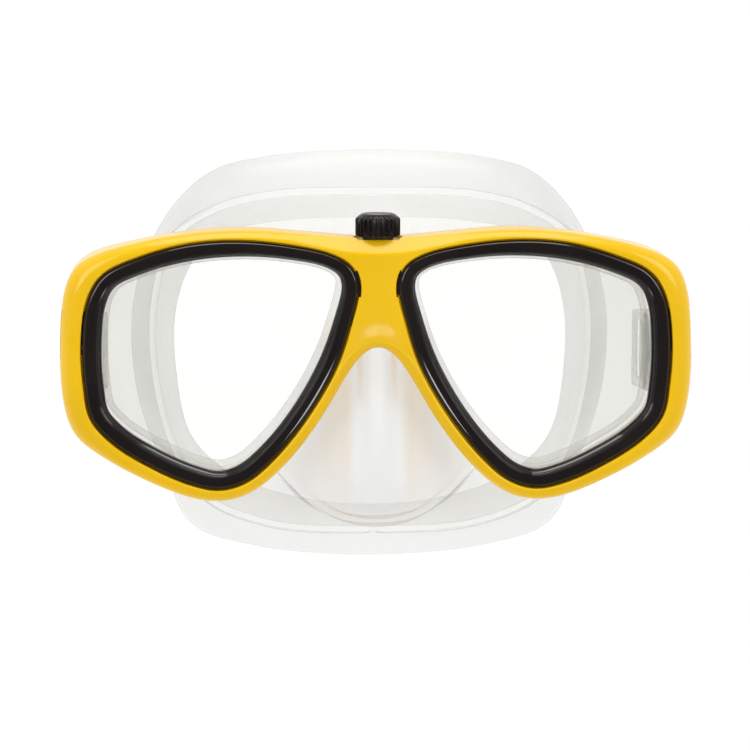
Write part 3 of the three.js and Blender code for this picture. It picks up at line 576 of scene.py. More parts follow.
def product(tree, *factors):
    """All the factors multiplied, each a socket or a number after the first."""
    whole = factors[0]
    for factor in factors[1:]:
        whole = maths(tree, "MULTIPLY", whole, factor)
    return whole


# The spans, in metres, over which the skirt's tints come and go.
SEAL_TINT = {"across": (0.012, 0.042), "back": (-0.021, -0.012), "up": (-0.055, -0.025)}
SEAL_LEAST = {"back": 0.25, "up": 0.2}
NOSE = {"side": (0.02, 0.03), "low": (-0.05, -0.04), "top": (0.002, 0.01), "front": (-0.034, -0.026)}
# Where a painted highlight runs as a pale line down the nose pocket's ridge.
RIDGE_HIGHLIGHT = {"side": (0.001, 0.003), "up": (-0.03, -0.012)}
# The next three place a painted reflection of the yellow frame on the nose pocket's flanks and under its
# arch, and the fourth a painted shade round its foot.
FLANK_REFLECTION = {"inner": (0.006, 0.0095), "outer": (0.0115, 0.017), "up": (-0.044, -0.028)}
REFLECTION_STREAKS = {"scale": 210, "span": (0.4, 0.6), "least": 0.4}
ARCH_REFLECTION = {"inner": (0.0034, 0.0044), "outer": (0.005, 0.006), "up": (-0.016, -0.004)}
FOOT_SHADE = {"bow": 26.5, "low": (-0.053, -0.05), "high": (-0.049, -0.045), "outer": (0.012, 0.019), "share": 0.7}


def rises(tree, value, span, low=0, high=1):
    """A value that runs from low to high over a span of the given one."""
    return ranged(tree, value, low, high, *span)


def falls(tree, value, span):
    """A value that runs from 1 to 0 over a span of the given one."""
    return ranged(tree, value, 1, 0, *span)


def towards_temples(tree):
    """Least over the nose and the middle of the brow, 1 where the face seal is thickest, beside the eyes."""
    across, back, up = places(tree)
    return product(tree, rises(tree, across, SEAL_TINT["across"]),
                   rises(tree, back, SEAL_TINT["back"], SEAL_LEAST["back"]),
                   rises(tree, up, SEAL_TINT["up"], SEAL_LEAST["up"]))


def nose_pocket(tree):
    """1 all over the front of the nose pocket, and less along a painted highlight, a pale line down its
    ridge.
    """
    across, back, up = places(tree)
    # The painted highlight down the ridge keeps the grey off.
    ridge_highlight = product(tree, falls(tree, across, RIDGE_HIGHLIGHT["side"]), rises(tree, up, RIDGE_HIGHLIGHT["up"]))
    return product(tree, falls(tree, across, NOSE["side"]), rises(tree, up, NOSE["low"]),
                   falls(tree, up, NOSE["top"]), falls(tree, back, NOSE["front"]),
                   maths(tree, "SUBTRACT", 1, ridge_highlight))


def nose_reflection_and_shade(tree):
    """1 where a painted reflection of the yellow frame lies, on the pocket's flanks and under the arch, and
    where a painted shade lies round the pocket's foot.
    """
    across, back, up = places(tree)
    reflection_streak = added(tree, "TexNoise", Scale=REFLECTION_STREAKS["scale"], Detail=1)
    reflection_streak.noise_dimensions = "1D"
    tree.links.new(across, reflection_streak.inputs["W"])
    flank_reflection = product(tree, rises(tree, across, FLANK_REFLECTION["inner"]), falls(tree, across, FLANK_REFLECTION["outer"]),
                    rises(tree, up, FLANK_REFLECTION["up"]),
                    rises(tree, reflection_streak.outputs["Fac"], REFLECTION_STREAKS["span"], REFLECTION_STREAKS["least"]))
    # wedge: the painted reflection of the yellow frame under the arch.
    wedge = product(tree, rises(tree, across, ARCH_REFLECTION["inner"]), falls(tree, across, ARCH_REFLECTION["outer"]),
                    rises(tree, up, ARCH_REFLECTION["up"]))
    bow = maths(tree, "SUBTRACT", up, product(tree, across, across, FOOT_SHADE["bow"]))
    foot_shade = product(tree, rises(tree, bow, FOOT_SHADE["low"], 0, FOOT_SHADE["share"]), falls(tree, bow, FOOT_SHADE["high"]),
                   falls(tree, across, FOOT_SHADE["outer"]))
    reflection_and_shade = maths(tree, "MAXIMUM", flank_reflection, maths(tree, "MAXIMUM", wedge, foot_shade))
    return product(tree, reflection_and_shade, falls(tree, up, NOSE["top"]), falls(tree, back, NOSE["front"]))


def see_through(name, first, second, rough, opacity, edge, pass_grey, grain, skirt=False, **sockets):
    """A clear body: towards its edges, as the path through the wall grows, it clouds over, and a painted
    shade darkens it there in place of the dark surroundings a real wall bends into view.
    """
    made, tree, shader = drifting(name, first, second, rough, (30, 2), (120, 3), **sockets)
    bumped(tree, shader, noise(tree, 260, 4), 0.3, grain)
    facing = added(tree, "LayerWeight", Blend=FACING_BLEND)
    share = ranged(tree, facing.outputs["Facing"], opacity, edge, 0.0, 1.0)
    clear = added(tree, "BsdfTransparent")
    # The second grey is the painted shade that the colour let through takes at grazing edges.
    middle, side, dense = ((grey, grey, grey * 0.99) for grey in pass_grey)
    if skirt:
        middle = tinted(tree, towards_temples(tree), middle, dense)
        middle = tinted(tree, nose_pocket(tree), middle, NOSE_GREY)
        # A painted reflection of the yellow frame on the nose pocket, and a painted shade round its foot.
        middle = tinted(tree, nose_reflection_and_shade(tree), middle, NOSE_REFLECTION_AND_SHADE)
    # Painted shade: the colour let through darkens towards grazing edges.
    rim = rises(tree, facing.outputs["Facing"], RIM_PAINTED_SHADE)
    tree.links.new(tinted(tree, rim, middle, side), clear.inputs["Color"])
    mix = added(tree, "MixShader")
    out = tree.nodes["Material Output"]
    tree.links.new(share, mix.inputs["Fac"])
    tree.links.new(clear.outputs["BSDF"], mix.inputs[1])
    tree.links.new(shader.outputs["BSDF"], mix.inputs[2])
    tree.links.new(mix.outputs["Shader"], out.inputs["Surface"])
    return made


FACING_BLEND = 0.35
RIM_PAINTED_SHADE = (0.68, 0.95)
NOSE_GREY = (0.90, 0.90, 0.895)
# The colour of the nose pocket's painted reflection of the yellow frame and of the painted shade round its
# foot.
NOSE_REFLECTION_AND_SHADE = (0.885, 0.835, 0.76)
SILICONE = see_through(
    "clear_silicone", first=(0.88, 0.88, 0.865), second=(0.92, 0.92, 0.91), rough=(0.14, 0.22), opacity=0.09,
    edge=0.32, pass_grey=(0.95, 0.68, 0.885), grain=0.00006, skirt=True, Specular_IOR_Level=0.5,
)
CLEAR_PLASTIC = see_through(
    "clear_plastic", first=(0.86, 0.88, 0.88), second=(0.9, 0.91, 0.91), rough=(0.08, 0.14), opacity=0.2,
    edge=0.7, pass_grey=(0.93, 0.6, 0.93), grain=0.00001,
)
GLASS = see_through(
    "window_glass", first=(0.80, 0.90, 0.86), second=(0.83, 0.92, 0.88), rough=(0.0, 0.02), opacity=0.02,
    edge=0.45, pass_grey=(1.0, 0.8, 1.0), grain=0.000001,
)


# -------- frame

def frame_edges(stations):
    """How far each section runs out to the frame's outline or the middle of the bridge, and which way."""
    a = FRAME_LOOP[:, :2]
    e = np.roll(a, -1, 0) - a
    found = []
    for x, z, _, nx, nz in stations:
        cross = nx * e[:, 1] - nz * e[:, 0]
        dx, dz = a[:, 0] - x, a[:, 1] - z
        with np.errstate(divide="ignore", invalid="ignore"):
            out = (dx * e[:, 1] - dz * e[:, 0]) / cross
            along = (dx * nz - dz * nx) / cross
        hit = out[(out > 0) & (along >= 0) & (along <= 1)]
        best = hit.min() if len(hit) else np.inf
        middle = -x / nx if nx < 0 else np.inf
        found.append([min(best, middle), middle < best, nx, nz])
    near = FRAME_LOOP[np.abs(FRAME_LOOP[:, 0]) < BRIDGE_MIDDLE][:, 1]
    for i in crossings(found):
        k = (i + 1) % len(stations)
        j = i if found[i][1] else k
        x, z = stations[j][:2]
        corner = near.max() if z > BRIDGE_HALFWAY else near.min()
        reach = math.hypot(x, corner - z)
        found[j] = [reach, True, -x / reach, (corner - z) / reach]
    return found


def crossings(found):
    """The stations after which the sections change between the outline and the middle of the bridge."""
    return [i for i in range(len(found)) if found[i][1] != found[(i + 1) % len(found)][1]]


def frame_stations():
    """Sections round one window, close together where they meet a corner of the bridge."""
    whole = len(LENS_LOOP)
    even = np.arange(0, whole, FRAME_STEP)
    turns = [even[i] + FRAME_STEP / 2 for i in crossings(frame_edges([loop_at(i) for i in even]))]
    steps = []
    for at in even:
        near = any(abs((at - turn + whole / 2) % whole - whole / 2) < CORNER_REACH for turn in turns)
        steps += [at + k * FRAME_STEP / CORNER_STEPS for k in range(CORNER_STEPS)] if near else [at]
    return [loop_at(i) for i in steps]


def from_outline(x, z):
    """Distance to the frame's outline."""
    start = FRAME_LOOP[:, :2]
    edge = np.roll(start, -1, 0) - start
    reach = np.array((x, z)) - start
    along = np.clip((reach * edge).sum(1) / (edge**2).sum(1), 0, 1)
    return np.hypot(*(reach - along[:, None] * edge).T).min()


def frame_front(x, z):
    """Depth of the frame's front: a rounded edge, a shelf along the top and a dip over the nose arch."""
    radius = between(EDGE["radius"], EDGE["temple_radius"], ease(abs(x), EDGE["from"], EDGE["to"]))
    away = from_outline(x, z)
    rounded = radius - math.sqrt(max(radius**2 - (radius - min(away, radius)) ** 2, 0))
    width = between(SHELF["middle"], SHELF["sides"], ease(abs(x), SHELF["near"], SHELF["far"]))
    over = width - away
    shelf, dip = 0, 0
    if z > SHELF["above"]:
        fade = 1 - ease(abs(x), SHELF["fade_from"], SHELF["fade_to"])
        shelf = SHELF["slope"] * 0.5 * (over + math.hypot(over, SHELF["soft"])) * fade
    if DIP["low"] < z < DIP["high"]:
        fade = 1 - ease(abs(x), DIP["middle"], DIP["half"])
        dip = DIP["depth"] * (1 - ease(away, DIP["near"], DIP["far"])) * fade
    return FRAME_FRONT + max(rounded, shelf, dip)


def wall_depth(x, z):
    """How far back the frame's outer wall runs: shallow over the brow and the nose, deep at the temples."""
    depth = between(WALL["top"], WALL["temple"], ease(abs(x), WALL["from"], WALL["to"]))
    arch = (1 - ease(abs(x), ARCH["near"], ARCH["far"])) * (1 - ease(z, ARCH["low"], ARCH["high"]))
    return between(depth, ARCH["back"], arch)


def frame_section(station, edge):
    """The frame's closed outline at one station: ledge, hole, front, outer wall, rear and inside."""
    reach, middle, ox, oz = edge
    outer = -float(reach)
    outward = (*station[:3], ox, oz)

    def point(offset, depth):
        x, y, z = inset(outward if offset < -CLEAR else station, offset, depth)
        return (0.0 if middle and offset == outer else x, y, z)

    def surface(offset):
        x, _, z = point(offset, 0)
        return point(offset, frame_front(x, z))

    x, _, z = point(outer, 0)
    back = BRIDGE_BACK if middle else wall_depth(x, z)
    inner = min(outer + WALL["thick"], -CLEAR - 0.1)
    lip = [point(LEDGE["inner"], LEDGE["front"] + LEDGE["round"]),
           point(LEDGE["inner"] - LEDGE["round"], LEDGE["front"])]
    hole = [point(-CLEAR, d) for d in (LEDGE["front"], *HOLE_DEPTHS)]
    rim = -CLEAR - HOLE_ROUND
    start = surface(rim)[1] - float(sweep(surface(rim)[0]))
    round_in = []
    for angle in np.linspace(0, math.pi / 2, 5):
        offset = -CLEAR - HOLE_ROUND * (1 - math.cos(angle))
        round_in.append(point(offset, start + HOLE_ROUND * (1 - math.sin(angle))))
    front = []
    for t in np.linspace(FRONT_START, 1, FRONT_RINGS):
        front.append(surface(between(rim, outer, math.sin(t * math.pi / 2))))
    side_from = front[-1][1] - float(sweep(x))
    side = []
    for k in range(1, SIDE_RINGS + 1):
        side.append(point(outer, side_from + (back - REAR_ROUND - side_from) * k / SIDE_RINGS))
    apart = 0 if middle else 1
    rear = [point(outer + step * apart, back - rise) for step, rise in REAR_OUTER]
    rear += [point(inner - step * apart, back - rise) for step, rise in REAR_INNER]
    inside = [point(inner, LEDGE["back"]), point(LEDGE["inner"] - LEDGE["round"], LEDGE["back"]),
              point(LEDGE["inner"], LEDGE["back"] - LEDGE["round"])]
    return lip + hole + round_in + front + side + rear + inside


def drilled(name, hole, axis, centre, low="low", high="high"):
    """A round cutter along an axis, from one end of the hole to the other."""
    ends = [(0, hole[low]), (hole["radius"], hole[low]), (hole["radius"], hole[high]), (0, hole[high])]
    return turned(name, ends, axis, centre, hole["sides"])


def at_temple(name, block, side):
    """A box on the temple's slope, for the ring's hook and its slot."""
    depth = float(sweep(block["middle"]))
    left, right = sorted((side * block["from"], side * block["to"]))
    low = (left, block["front"] + depth, block["low"])
    high = (right, block["back"] + depth, block["high"])
    return cuboid(name, low, high)


def build_frame():
    """Both halves swept round their windows, then cut for the lock, the knob, the tabs and the hooks."""
    stations = frame_stations()
    sections = [frame_section(s, e) for s, e in zip(stations, frame_edges(stations))]
    points, faces = strip(sections)
    faces = [f for f in faces if any(abs(points[i][0]) > 1e-9 for i in f)]
    other_points, other_faces = mirror(points, faces)
    shift = len(points)
    faces = faces + [tuple(i + shift for i in f) for f in other_faces]
    obj = make("frame_shell", points + other_points, faces, 38)
    knob_axis = (0, KNOB["y"], 0)
    cutters = [cuboid("pocket", *POCKET), cuboid("wings", *WINGS), cuboid("cover_seat", *COVER_SEAT)]
    cutters.append(drilled("spindle_hole", SPINDLE_HOLE, "z", knob_axis))
    cutters.append(drilled("knob_seat", KNOB_SEAT, "z", knob_axis))
    for z in SCREW_HEIGHTS:
        cutters.append(drilled("screw_hole", SCREW_HOLE, "y", (0, 0, z), "front", "back"))
    for _, side in SIDES:
        cutters.append(at_temple("hook_slot", HOOK_SLOT, side))
        cutters.append(build_tab(side, CLEAR, TAB_RECESS_FRONT))
    boolean(obj, cutters)
    shade(obj, 32)
    return obj


# -------- lens units

# The window ring's section as (offset, depth, radius): crisp lines by the glass, a rounded face and a wall.
BEZEL_PROFILE = filleted([
    (5.1, 2.35, 0.2), (4.72, 1.82, 0.06), (4.62, 1.86, 0.04), (4.54, 1.62, 0.06), (4.08, 1.1, 0.06),
    (3.98, 1.16, 0.04), (3.9, 0.9, 0.06), (3.62, 0.66, 0.08), (3.52, 0.78, 0.04), (3.4, 0.56, 0.14),
    (2.1, 0.40, 0.6), (0.75, 0.55, 0.35), (0.0, 1.3, 0.6), (0.7, 7.1, 0.35), (1.5, 7.1, 0.3),
    (1.5, 2.9, 0.3), (5.1, 2.9, 0.25),
])


def build_tab(side, grow, front):
    """The locking tab beside the bridge, or, grown all round, the recess for it in the frame."""
    near = [s for s in LENS_LOOP if s[3] < -0.5 and abs(s[1] - TAB_MIDDLE) < TAB_REACH]
    near = np.array(sorted(near, key=lambda s: s[1]))
    run = []
    for z in np.linspace(TAB["low"] - grow, TAB["high"] + grow, TAB_SAMPLES):
        run.append([np.interp(z, near[:, 1], near[:, k]) for k in (0, 1, 3, 4)])
    outline = [(x + nx * (TAB["proud"] + grow), z + nz * (TAB["proud"] + grow)) for x, z, nx, nz in run]
    outline += [(x - nx * TAB["root"], z - nz * TAB["root"]) for x, z, nx, nz in reversed(run)]
    points, faces = strip([[(x, y, z) for x, z in outline] for y in (front, TAB["back"] + grow)], False)
    if side < 0:
        points, faces = mirror(points, faces)
    return make("tab", points, faces)


def ring(name, profile, side, stride=1, sharp=35.0):
    """A profile of (offset, depth) points swept round one window."""
    stations = LENS_LOOP[::stride]
    points, faces = strip([[inset(s, o, d) for o, d in profile] for s in stations])
    if side < 0:
        points, faces = mirror(points, faces)
    return make(name, points, faces, sharp)


def build_bezel(side, label):
    """A window ring with its temple hook and its locking tab."""
    bezel = ring(f"lens_ring_{label}", BEZEL_PROFILE, side, 1, 45)
    hook = at_temple("hook", HOOK, side)
    bevel(hook, HOOK_ROUND, 3)
    tab = build_tab(side, 0, TAB["front"])
    bevel(tab, TAB["round"], 2)
    boolean(bezel, [hook, tab], "UNION")
    shade(bezel, 40)
    return bezel


def build_glass(side, label):
    """A flat window with ground edges."""
    stations = LENS_LOOP[::2]
    points, faces = strip([[inset(s, o, d) for s in stations] for o, d in GLASS_RINGS], False)
    if side < 0:
        points, faces = mirror(points, faces)
    return make(f"window_{label}", points, faces, 20)


# -------- skirt

RIM_CURVE = Curve(RIM)
OUTER_CURVE = Curve(OUTER_SEAL)
INNER_CURVE = Curve(INNER_SEAL)
MIDLINE_CURVE = Curve([(0, y, z) for y, z in MIDLINE], False)


def skirt_stations():
    """Where each run of the skirt leaves the window, where it ends, and how far it turns to the side."""
    top, low = loop_index(SKIRT_LENS_TOP), loop_index(SKIRT_LENS_LOW)
    stations = []
    for i in range(RIM_STATIONS):
        u = i / RIM_STATIONS
        lead = u + RIM_LEAD * u * u * (1 - u)
        turn = 0.5 * (1 - ease(u, 0, TURN_START)) + 0.5 * ease(u, TURN_END, 1)
        stations.append((loop_at(top + (low - top) * lead), RIM_CURVE.at(u), turn))
    for i in range(MIDLINE_STATIONS):
        u = i / MIDLINE_STATIONS
        lag = LAG_EVEN * u + (1 - LAG_EVEN) * ease(u**LAG_POWER, 0, 1)
        turn = 0.5 + 0.5 * ease(u, 0, NOSE_TURN_START) * (1 - ease(u, TURN_END, 1))
        stations.append((loop_at(low + (len(LENS_LOOP) + top - low) * lag), MIDLINE_CURVE.at(u), turn))
    return stations


def bezier(controls, t):
    """The point at t on the Bezier curve of any number of controls."""
    p = [np.array(c, float) for c in controls]
    while len(p) > 1:
        p = [(1 - t) * a + t * b for a, b in zip(p, p[1:])]
    return p[0]


def skirt_path(start, end, turn):
    """The controls of one run of the skirt's wall, from behind the window to the rim."""
    origin = np.array(inset(start, START_OFFSET, START_DEPTH))
    length = float(np.linalg.norm(end - origin))
    out = between(*LEAVE_OUT, turn) * length
    back = between(*LEAVE_BACK, turn) * length
    leave = origin + np.array([start[3] * out, back, start[4] * out])
    angle = turn * math.pi / 2
    arrive = end + np.array([math.sin(angle), -math.cos(angle), 0]) * ARRIVE * length
    return [origin, leave, arrive, end]


def seal_path(u):
    """The controls of the outer face seal's section, which flares out from the rim."""
    root, edge = RIM_CURVE.at(u), OUTER_CURVE.at(u)
    middle = between(root, edge, SEAL_MIDDLE["across"])
    middle[1] = between(root[1], edge[1], SEAL_MIDDLE["back"])
    return [root, middle, edge]


def skirt_sheet():
    """The left half of the skirt's middle surface: points, half thicknesses and faces."""
    points, halves, faces = [], [], []

    def add(p, half):
        points.append((0.0 if abs(p[0]) < 1e-6 else float(p[0]), float(p[1]), float(p[2])))
        halves.append(half)
        return len(points) - 1

    rings = [1 - (1 - k / WALL_RINGS) ** RING_CROWDING for k in range(WALL_RINGS + 1)]
    rows = []
    for start, end, turn in skirt_stations():
        path = skirt_path(start, end, turn)
        rows.append([add(bezier(path, t), WALL_HALF) for t in rings])
    for i, row in enumerate(rows):
        after = rows[(i + 1) % len(rows)]
        for k in range(WALL_RINGS):
            faces.append((row[k], row[k + 1], after[k + 1], after[k]))
    before = None
    for i in range(RIM_STATIONS + 1):
        path = seal_path(i / RIM_STATIONS)
        run = [rows[i][-1]]
        for j in range(1, SEAL_RINGS + 1):
            t = j / SEAL_RINGS
            run.append(add(bezier(path, t), between(WALL_HALF, SEAL_HALF, t)))
        if before:
            for j in range(SEAL_RINGS):
                faces.append((before[j], before[j + 1], run[j + 1], run[j]))
        before = run
    return points, halves, faces


def build_skirt_shell():
    """The skirt's middle surface thickened both ways, with a rounded edge along the seal."""
    points, halves, faces = skirt_sheet()
    shift = len(points)
    both = points + [(-x, y, z) for x, y, z in points]
    thick = np.array(halves + halves)
    all_faces = faces + [tuple(i + shift for i in reversed(f)) for f in faces]
    bm = bmesh.new()
    half = bm.verts.layers.float.new("half")
    verts = []
    for p, t in zip(both, thick):
        v = bm.verts.new(p)
        v[half] = t
        verts.append(v)
    for f in all_faces:
        bm.faces.new([verts[i] for i in f])
    bmesh.ops.remove_doubles(bm, verts=bm.verts, dist=1e-3)
    bm.normal_update()
    bm.verts.index_update()
    co = [np.array(v.co) for v in bm.verts]
    normals = [np.array(v.normal) for v in bm.verts]
    reach = [v[half] for v in bm.verts]
    n = len(co)
    shell = [tuple(c + m * t) for c, m, t in zip(co, normals, reach)]
    shell += [tuple(c - m * t) for c, m, t in zip(co, normals, reach)]
    out = [tuple(v.index for v in f.verts) for f in bm.faces]
    made = list(out) + [tuple(i + n for i in reversed(f)) for f in out]
    middle = {}
    for edge in bm.edges:
        if len(edge.link_faces) != 1:
            continue
        loop = edge.link_loops[0]
        a, b = loop.vert.index, loop.link_loop_next.vert.index
        for i in (a, b):
            if i not in middle:
                middle[i] = len(shell)
                shell.append(tuple(co[i] + outward_of(bm, i) * reach[i] * EDGE_SWELL))
        made.append((b, a, middle[a], middle[b]))
        made.append((middle[b], middle[a], a + n, b + n))
    bm.free()
    return make("skirt_wall", shell, made, 50)


def outward_of(bm, index):
    """The direction out of the sheet at a vertex on its open edge."""
    bm.verts.ensure_lookup_table()
    vert = bm.verts[index]
    pull = Vector()
    for edge in vert.link_edges:
        if len(edge.link_faces) == 2:
            pull += (vert.co - edge.other_vert(vert).co).normalized()
    return np.array(pull.normalized()) if pull.length > 1e-9 else np.zeros(3)


def build_collar(side, label):
    """The silicone lip that holds the ledge round one window."""
    c = COLLAR
    profile = filleted([
        (c["inner"], c["front"], 0.6), (c["lip_outer"], c["front"], 0.6), (c["lip_outer"], c["lip"], 0.4),
        (c["neck"], c["lip"], 0.15), (c["neck"], c["rear"], 0.15), (c["outer"], c["rear"], 0.4),
        (c["outer"], c["back"], 0.6), (c["inner"], c["back"], 0.6),
    ], 3)
    return ring(f"collar_{label}", profile, side, 2, 50)


def build_inner_seal():
    """The second lip of the face seal, which turns in from the rim and thins towards its edge."""
    lip = INNER_SEAL_LIP
    right = []
    for i in range(RIM_STATIONS + 1):
        u = i / RIM_STATIONS
        root, edge = RIM_CURVE.at(u), INNER_CURVE.at(u)
        middle = (root + edge) / 2
        middle[1] = max(root[1], edge[1]) + lip["arch"]
        back = [bezier([root, middle, edge], t) for t in np.linspace(0, 1, lip["samples"])]
        front = []
        for t in np.linspace(1, 0, lip["samples"]):
            thick = between(lip["root"], lip["edge"], t)
            front.append(bezier([root, middle, edge], t) - np.array([0, thick, 0]))
        inward = (edge - root) / np.linalg.norm(edge - root)
        tip = back[-1] + inward * lip["tip"] - np.array([0, lip["tip"], 0])
        right.append([tuple(p) for p in back] + [tuple(tip)] + [tuple(p) for p in front])
    left = [[(-x, y, z) for x, y, z in s] for s in right[1:-1]][::-1]
    points, faces = strip(right + left)
    return make("inner_seal", points, faces, 50)


def build_skirt():
    """The whole skirt in one body: wall, nose pocket, outer seal, collars and inner seal."""
    shell = build_skirt_shell()
    extras = [build_collar(1, "a"), build_collar(-1, "b"), build_inner_seal()]
    boolean(shell, extras, "UNION")
    tidy(shell)
    shade(shell, 42)
    return shell


# -------- knob

def build_knob():
    """Ribs round the rim that fade out on the chamfer, a shallow dish and a coin slot on top."""
    k = KNOB
    sides = k["ribs"] * RIB["samples"]
    y, radius, crown = k["y"], k["radius"], k["crown"]
    bottom, shoulder, top = k["bottom"], k["shoulder"], k["top"]
    levels = [
        # height, radius, share of the ribs' depth
        (bottom, 5.3, 0), (bottom + 0.05, 5.55, 0.4), (bottom + 0.35, radius - 0.1, 1),
        (bottom + 0.6, radius, 1), (34, radius, 1), (shoulder - 0.3, radius, 1),
        (shoulder, radius - 0.1, 0.9), (shoulder + 0.35, radius - 0.45, 0.35),
        (shoulder + 0.7, radius - 0.85, 0),
        (top - 0.12, crown + 0.25, 0), (top, crown, 0), (top - 0.1, crown - 0.35, 0), (top - 0.14, 2, 0),
    ]
    rows = []
    for z, level_radius, ribbing in levels:
        row = []
        for s in range(sides):
            phase = (s % RIB["samples"]) / RIB["samples"]
            wave = 0.5 - 0.5 * math.cos(2 * math.pi * phase)
            r = level_radius - ribbing * RIB["depth"] * wave ** RIB["power"]
            a = 2 * math.pi * s / sides
            row.append((r * math.cos(a), y + r * math.sin(a), z))
        rows.append(row)
    knob = make("knob_cap", *strip(rows, False), 40)
    half, across = COIN_SLOT["half_length"], COIN_SLOT["half_width"]
    slot = cuboid("slot", (-half, y - across, top - COIN_SLOT["depth"]), (half, y + across, top + 1))
    bevel(slot, COIN_SLOT["round"], 2)
    socket = drilled("socket", SOCKET, "z", (0, y, 0))
    boolean(knob, [slot, socket])
    shade(knob, 33)
    return knob


# -------- the model

finish_piece(build_frame(), YELLOW, "mask", "frame", "frame")
finish_piece(build_skirt(), SILICONE, "mask", "silicone", "skirt")
finish_piece(build_knob(), KNOB_BLACK, "knob", "knob", "knob")

GASKET_PROFILE = filleted([(2.1, 3.1, 0.25), (4.9, 3.1, 0.25), (4.9, 3.9, 0.25), (2.1, 3.9, 0.25)], 2)
for label, side in SIDES:
    unit = f"lens_unit_{label}"
    finish_piece(build_bezel(side, label), BLACK, unit, "bezel", f"bezel_{label}")
    finish_piece(build_glass(side, label), GLASS, unit, "glass", f"lens_{label}")
    gasket = ring(f"window_gasket_{label}", GASKET_PROFILE, side, 2)
    finish_piece(gasket, RUBBER, unit, "gasket", f"lens_gasket_{label}")
    for node, piece, body, width, look, slot in (
        ("buckle_mount", "swivel_boss", "mask", 0.3, CLEAR_PLASTIC, "clear"),
        ("pivot_rivet", "rivet", "mask", 0.3, STEEL, "steel"),
        ("buckle_body", "buckle", f"buckle_{label}", 0.3, CLEAR_PLASTIC, "clear"),
        ("roller_pin", "roller_axle", f"buckle_{label}", 0.15, STEEL, "steel"),
        ("lever_pin", "lever_axle", f"buckle_{label}", 0.15, STEEL, "steel"),
        ("lever_spring", "lever_coil", f"buckle_{label}", 0.1, STEEL, "steel"),
        ("strap_roller", "roller", f"roller_{label}", 0.15, CLEAR_PLASTIC, "clear"),
        ("release_lever", "lever", f"lever_{label}", 0.3, CLEAR_PLASTIC, "clear"),
    ):
        made = copied(f"{node}_{label}", f"{piece}_{label}", width)
        finish_piece(made, look, body, slot, f"{node}_{label}")

for node, piece, body, width, look, slot in (
    ("knob_washer", "washer", "mask", 0.1, RUBBER, "gasket"),
    ("lock_screw", "spindle", "knob", 0.25, STEEL, "steel"),
    ("retaining_clip", "clip", "knob", 0.1, STEEL, "steel"),
    ("lock_wedge", "wedge", "lock", 0.3, KNOB_BLACK, "bezel"),
    ("bridge_cover", "cover", "mask", 0.25, KNOB_BLACK, "bezel"),
    ("cover_screw_upper", "screw_upper", "mask", 0.1, STEEL, "steel"),
    ("cover_screw_lower", "screw_lower", "mask", 0.1, STEEL, "steel"),
):
    finish_piece(copied(node, piece, width), look, body, slot, node)


# -------- floor, light and camera

FLOOR_DROP = 0.30
FLOOR_HALF = 30
FLOOR_GLOW = 0.36
FLOOR_TINTS = ((0.93, 0.93, 0.93), (0.95, 0.95, 0.95))
floor_data = bpy.data.meshes.new("floor")
corners = [(x * FLOOR_HALF, y * FLOOR_HALF, 0) for x, y in ((-1, -1), (1, -1), (1, 1), (-1, 1))]
floor_data.from_pydata(corners, [], [(0, 1, 2, 3)])
floor = placed("floor", floor_data)
floor.location = (0, 0, -FLOOR_DROP)
floor_look, floor_tree, floor_shader = principled(
    "pale_floor", Roughness=0.9, Specular_IOR_Level=0.0, Emission_Color=(1, 1, 1, 1),
    Emission_Strength=FLOOR_GLOW,
)
floor_tint = tinted(floor_tree, ranged(floor_tree, noise(floor_tree, 3), 0, 1), *FLOOR_TINTS)
floor_tree.links.new(floor_tint, floor_shader.inputs["Base Color"])
floor_data.materials.append(floor_look)
floor.visible_glossy = False

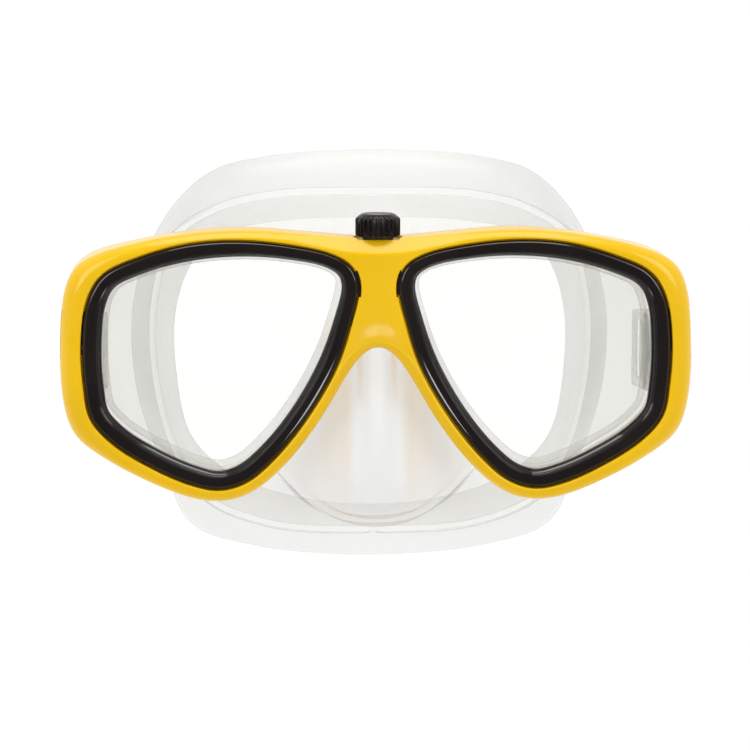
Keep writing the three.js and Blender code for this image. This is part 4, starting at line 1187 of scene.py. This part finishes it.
# A bright studio all round, with a dark opening in front of the mask
STUDIO_LIGHT = 1.0
OPENING_LIGHT = 0.12
OPENING = (-0.2, 0.75)
world = bpy.data.worlds.new("studio")
bpy.context.scene.world = world
world.use_nodes = True
tree = world.node_tree
where = added(tree, "TexCoord")
towards = added(tree, "VectorMath")
towards.operation = "DOT_PRODUCT"
towards.inputs[1].default_value = (0, -1, 0)
tree.links.new(where.outputs["Generated"], towards.inputs[0])
seen = added(tree, "LightPath")
studio = rises(tree, towards.outputs["Value"], OPENING, STUDIO_LIGHT, OPENING_LIGHT)
strength = maths(tree, "MAXIMUM", studio, seen.outputs["Is Camera Ray"])
backdrop = preset(tree.nodes["Background"], {"Color": (1, 1, 1, 1)})
tree.links.new(strength, backdrop.inputs["Strength"])

unlit = bpy.data.collections.new("unlit")
unlit.objects.link(floor)
unlit.collection_objects[0].light_linking.link_state = "EXCLUDE"


def softbox(name, location, target, size, power):
    """A large soft lamp, in metres and watts, which the floor isn't lit by."""
    light = bpy.data.lights.new(name, "AREA")
    light.shape = "RECTANGLE"
    light.size, light.size_y = size
    light.energy = power
    obj = placed(name, light)
    obj.location = location
    obj.rotation_euler = (Vector(target) - Vector(location)).to_track_quat("-Z", "Y").to_euler()
    obj.visible_camera = False
    obj.light_linking.receiver_collection = unlit


MASK_MIDDLE = (0, -0.03, 0)
NOSE_ARCH_FRONT = (0, -0.062, 0.0075)
softbox("top_box", (0.0, -0.27, 0.95), MASK_MIDDLE, size=(0.9, 0.35), power=4.5)
softbox("left_box", (-0.85, -0.75, 0.45), MASK_MIDDLE, size=(0.5, 0.7), power=4.5)
softbox("right_box", (0.85, -0.75, 0.45), MASK_MIDDLE, size=(0.5, 0.7), power=4.5)
softbox("low_box", (0.03, -0.81, -0.225), NOSE_ARCH_FRONT, size=(0.07, 0.08), power=0.16)

ELEVATION = math.radians(8)
AZIMUTH = math.radians(-2.4)
DISTANCE = 0.85
VIEW_WIDTH = 0.2027
SENSOR = 36
AIM = (-0.00105, -REACH / 1000, -0.00527)
target = Vector(AIM)
level = math.cos(ELEVATION)
back = Vector((math.sin(AZIMUTH) * level, -math.cos(AZIMUTH) * level, math.sin(ELEVATION)))
lens = bpy.data.cameras.new("camera")
lens.sensor_width = SENSOR
lens.lens = SENSOR * DISTANCE / VIEW_WIDTH
lens.clip_start = 0.01
lens.clip_end = 100
camera = placed("camera", lens)
camera.location = target + back * DISTANCE
camera.rotation_euler = (-back).to_track_quat("-Z", "Y").to_euler()
bpy.context.scene.camera = camera
bpy.context.scene.view_settings.view_transform = "Standard"
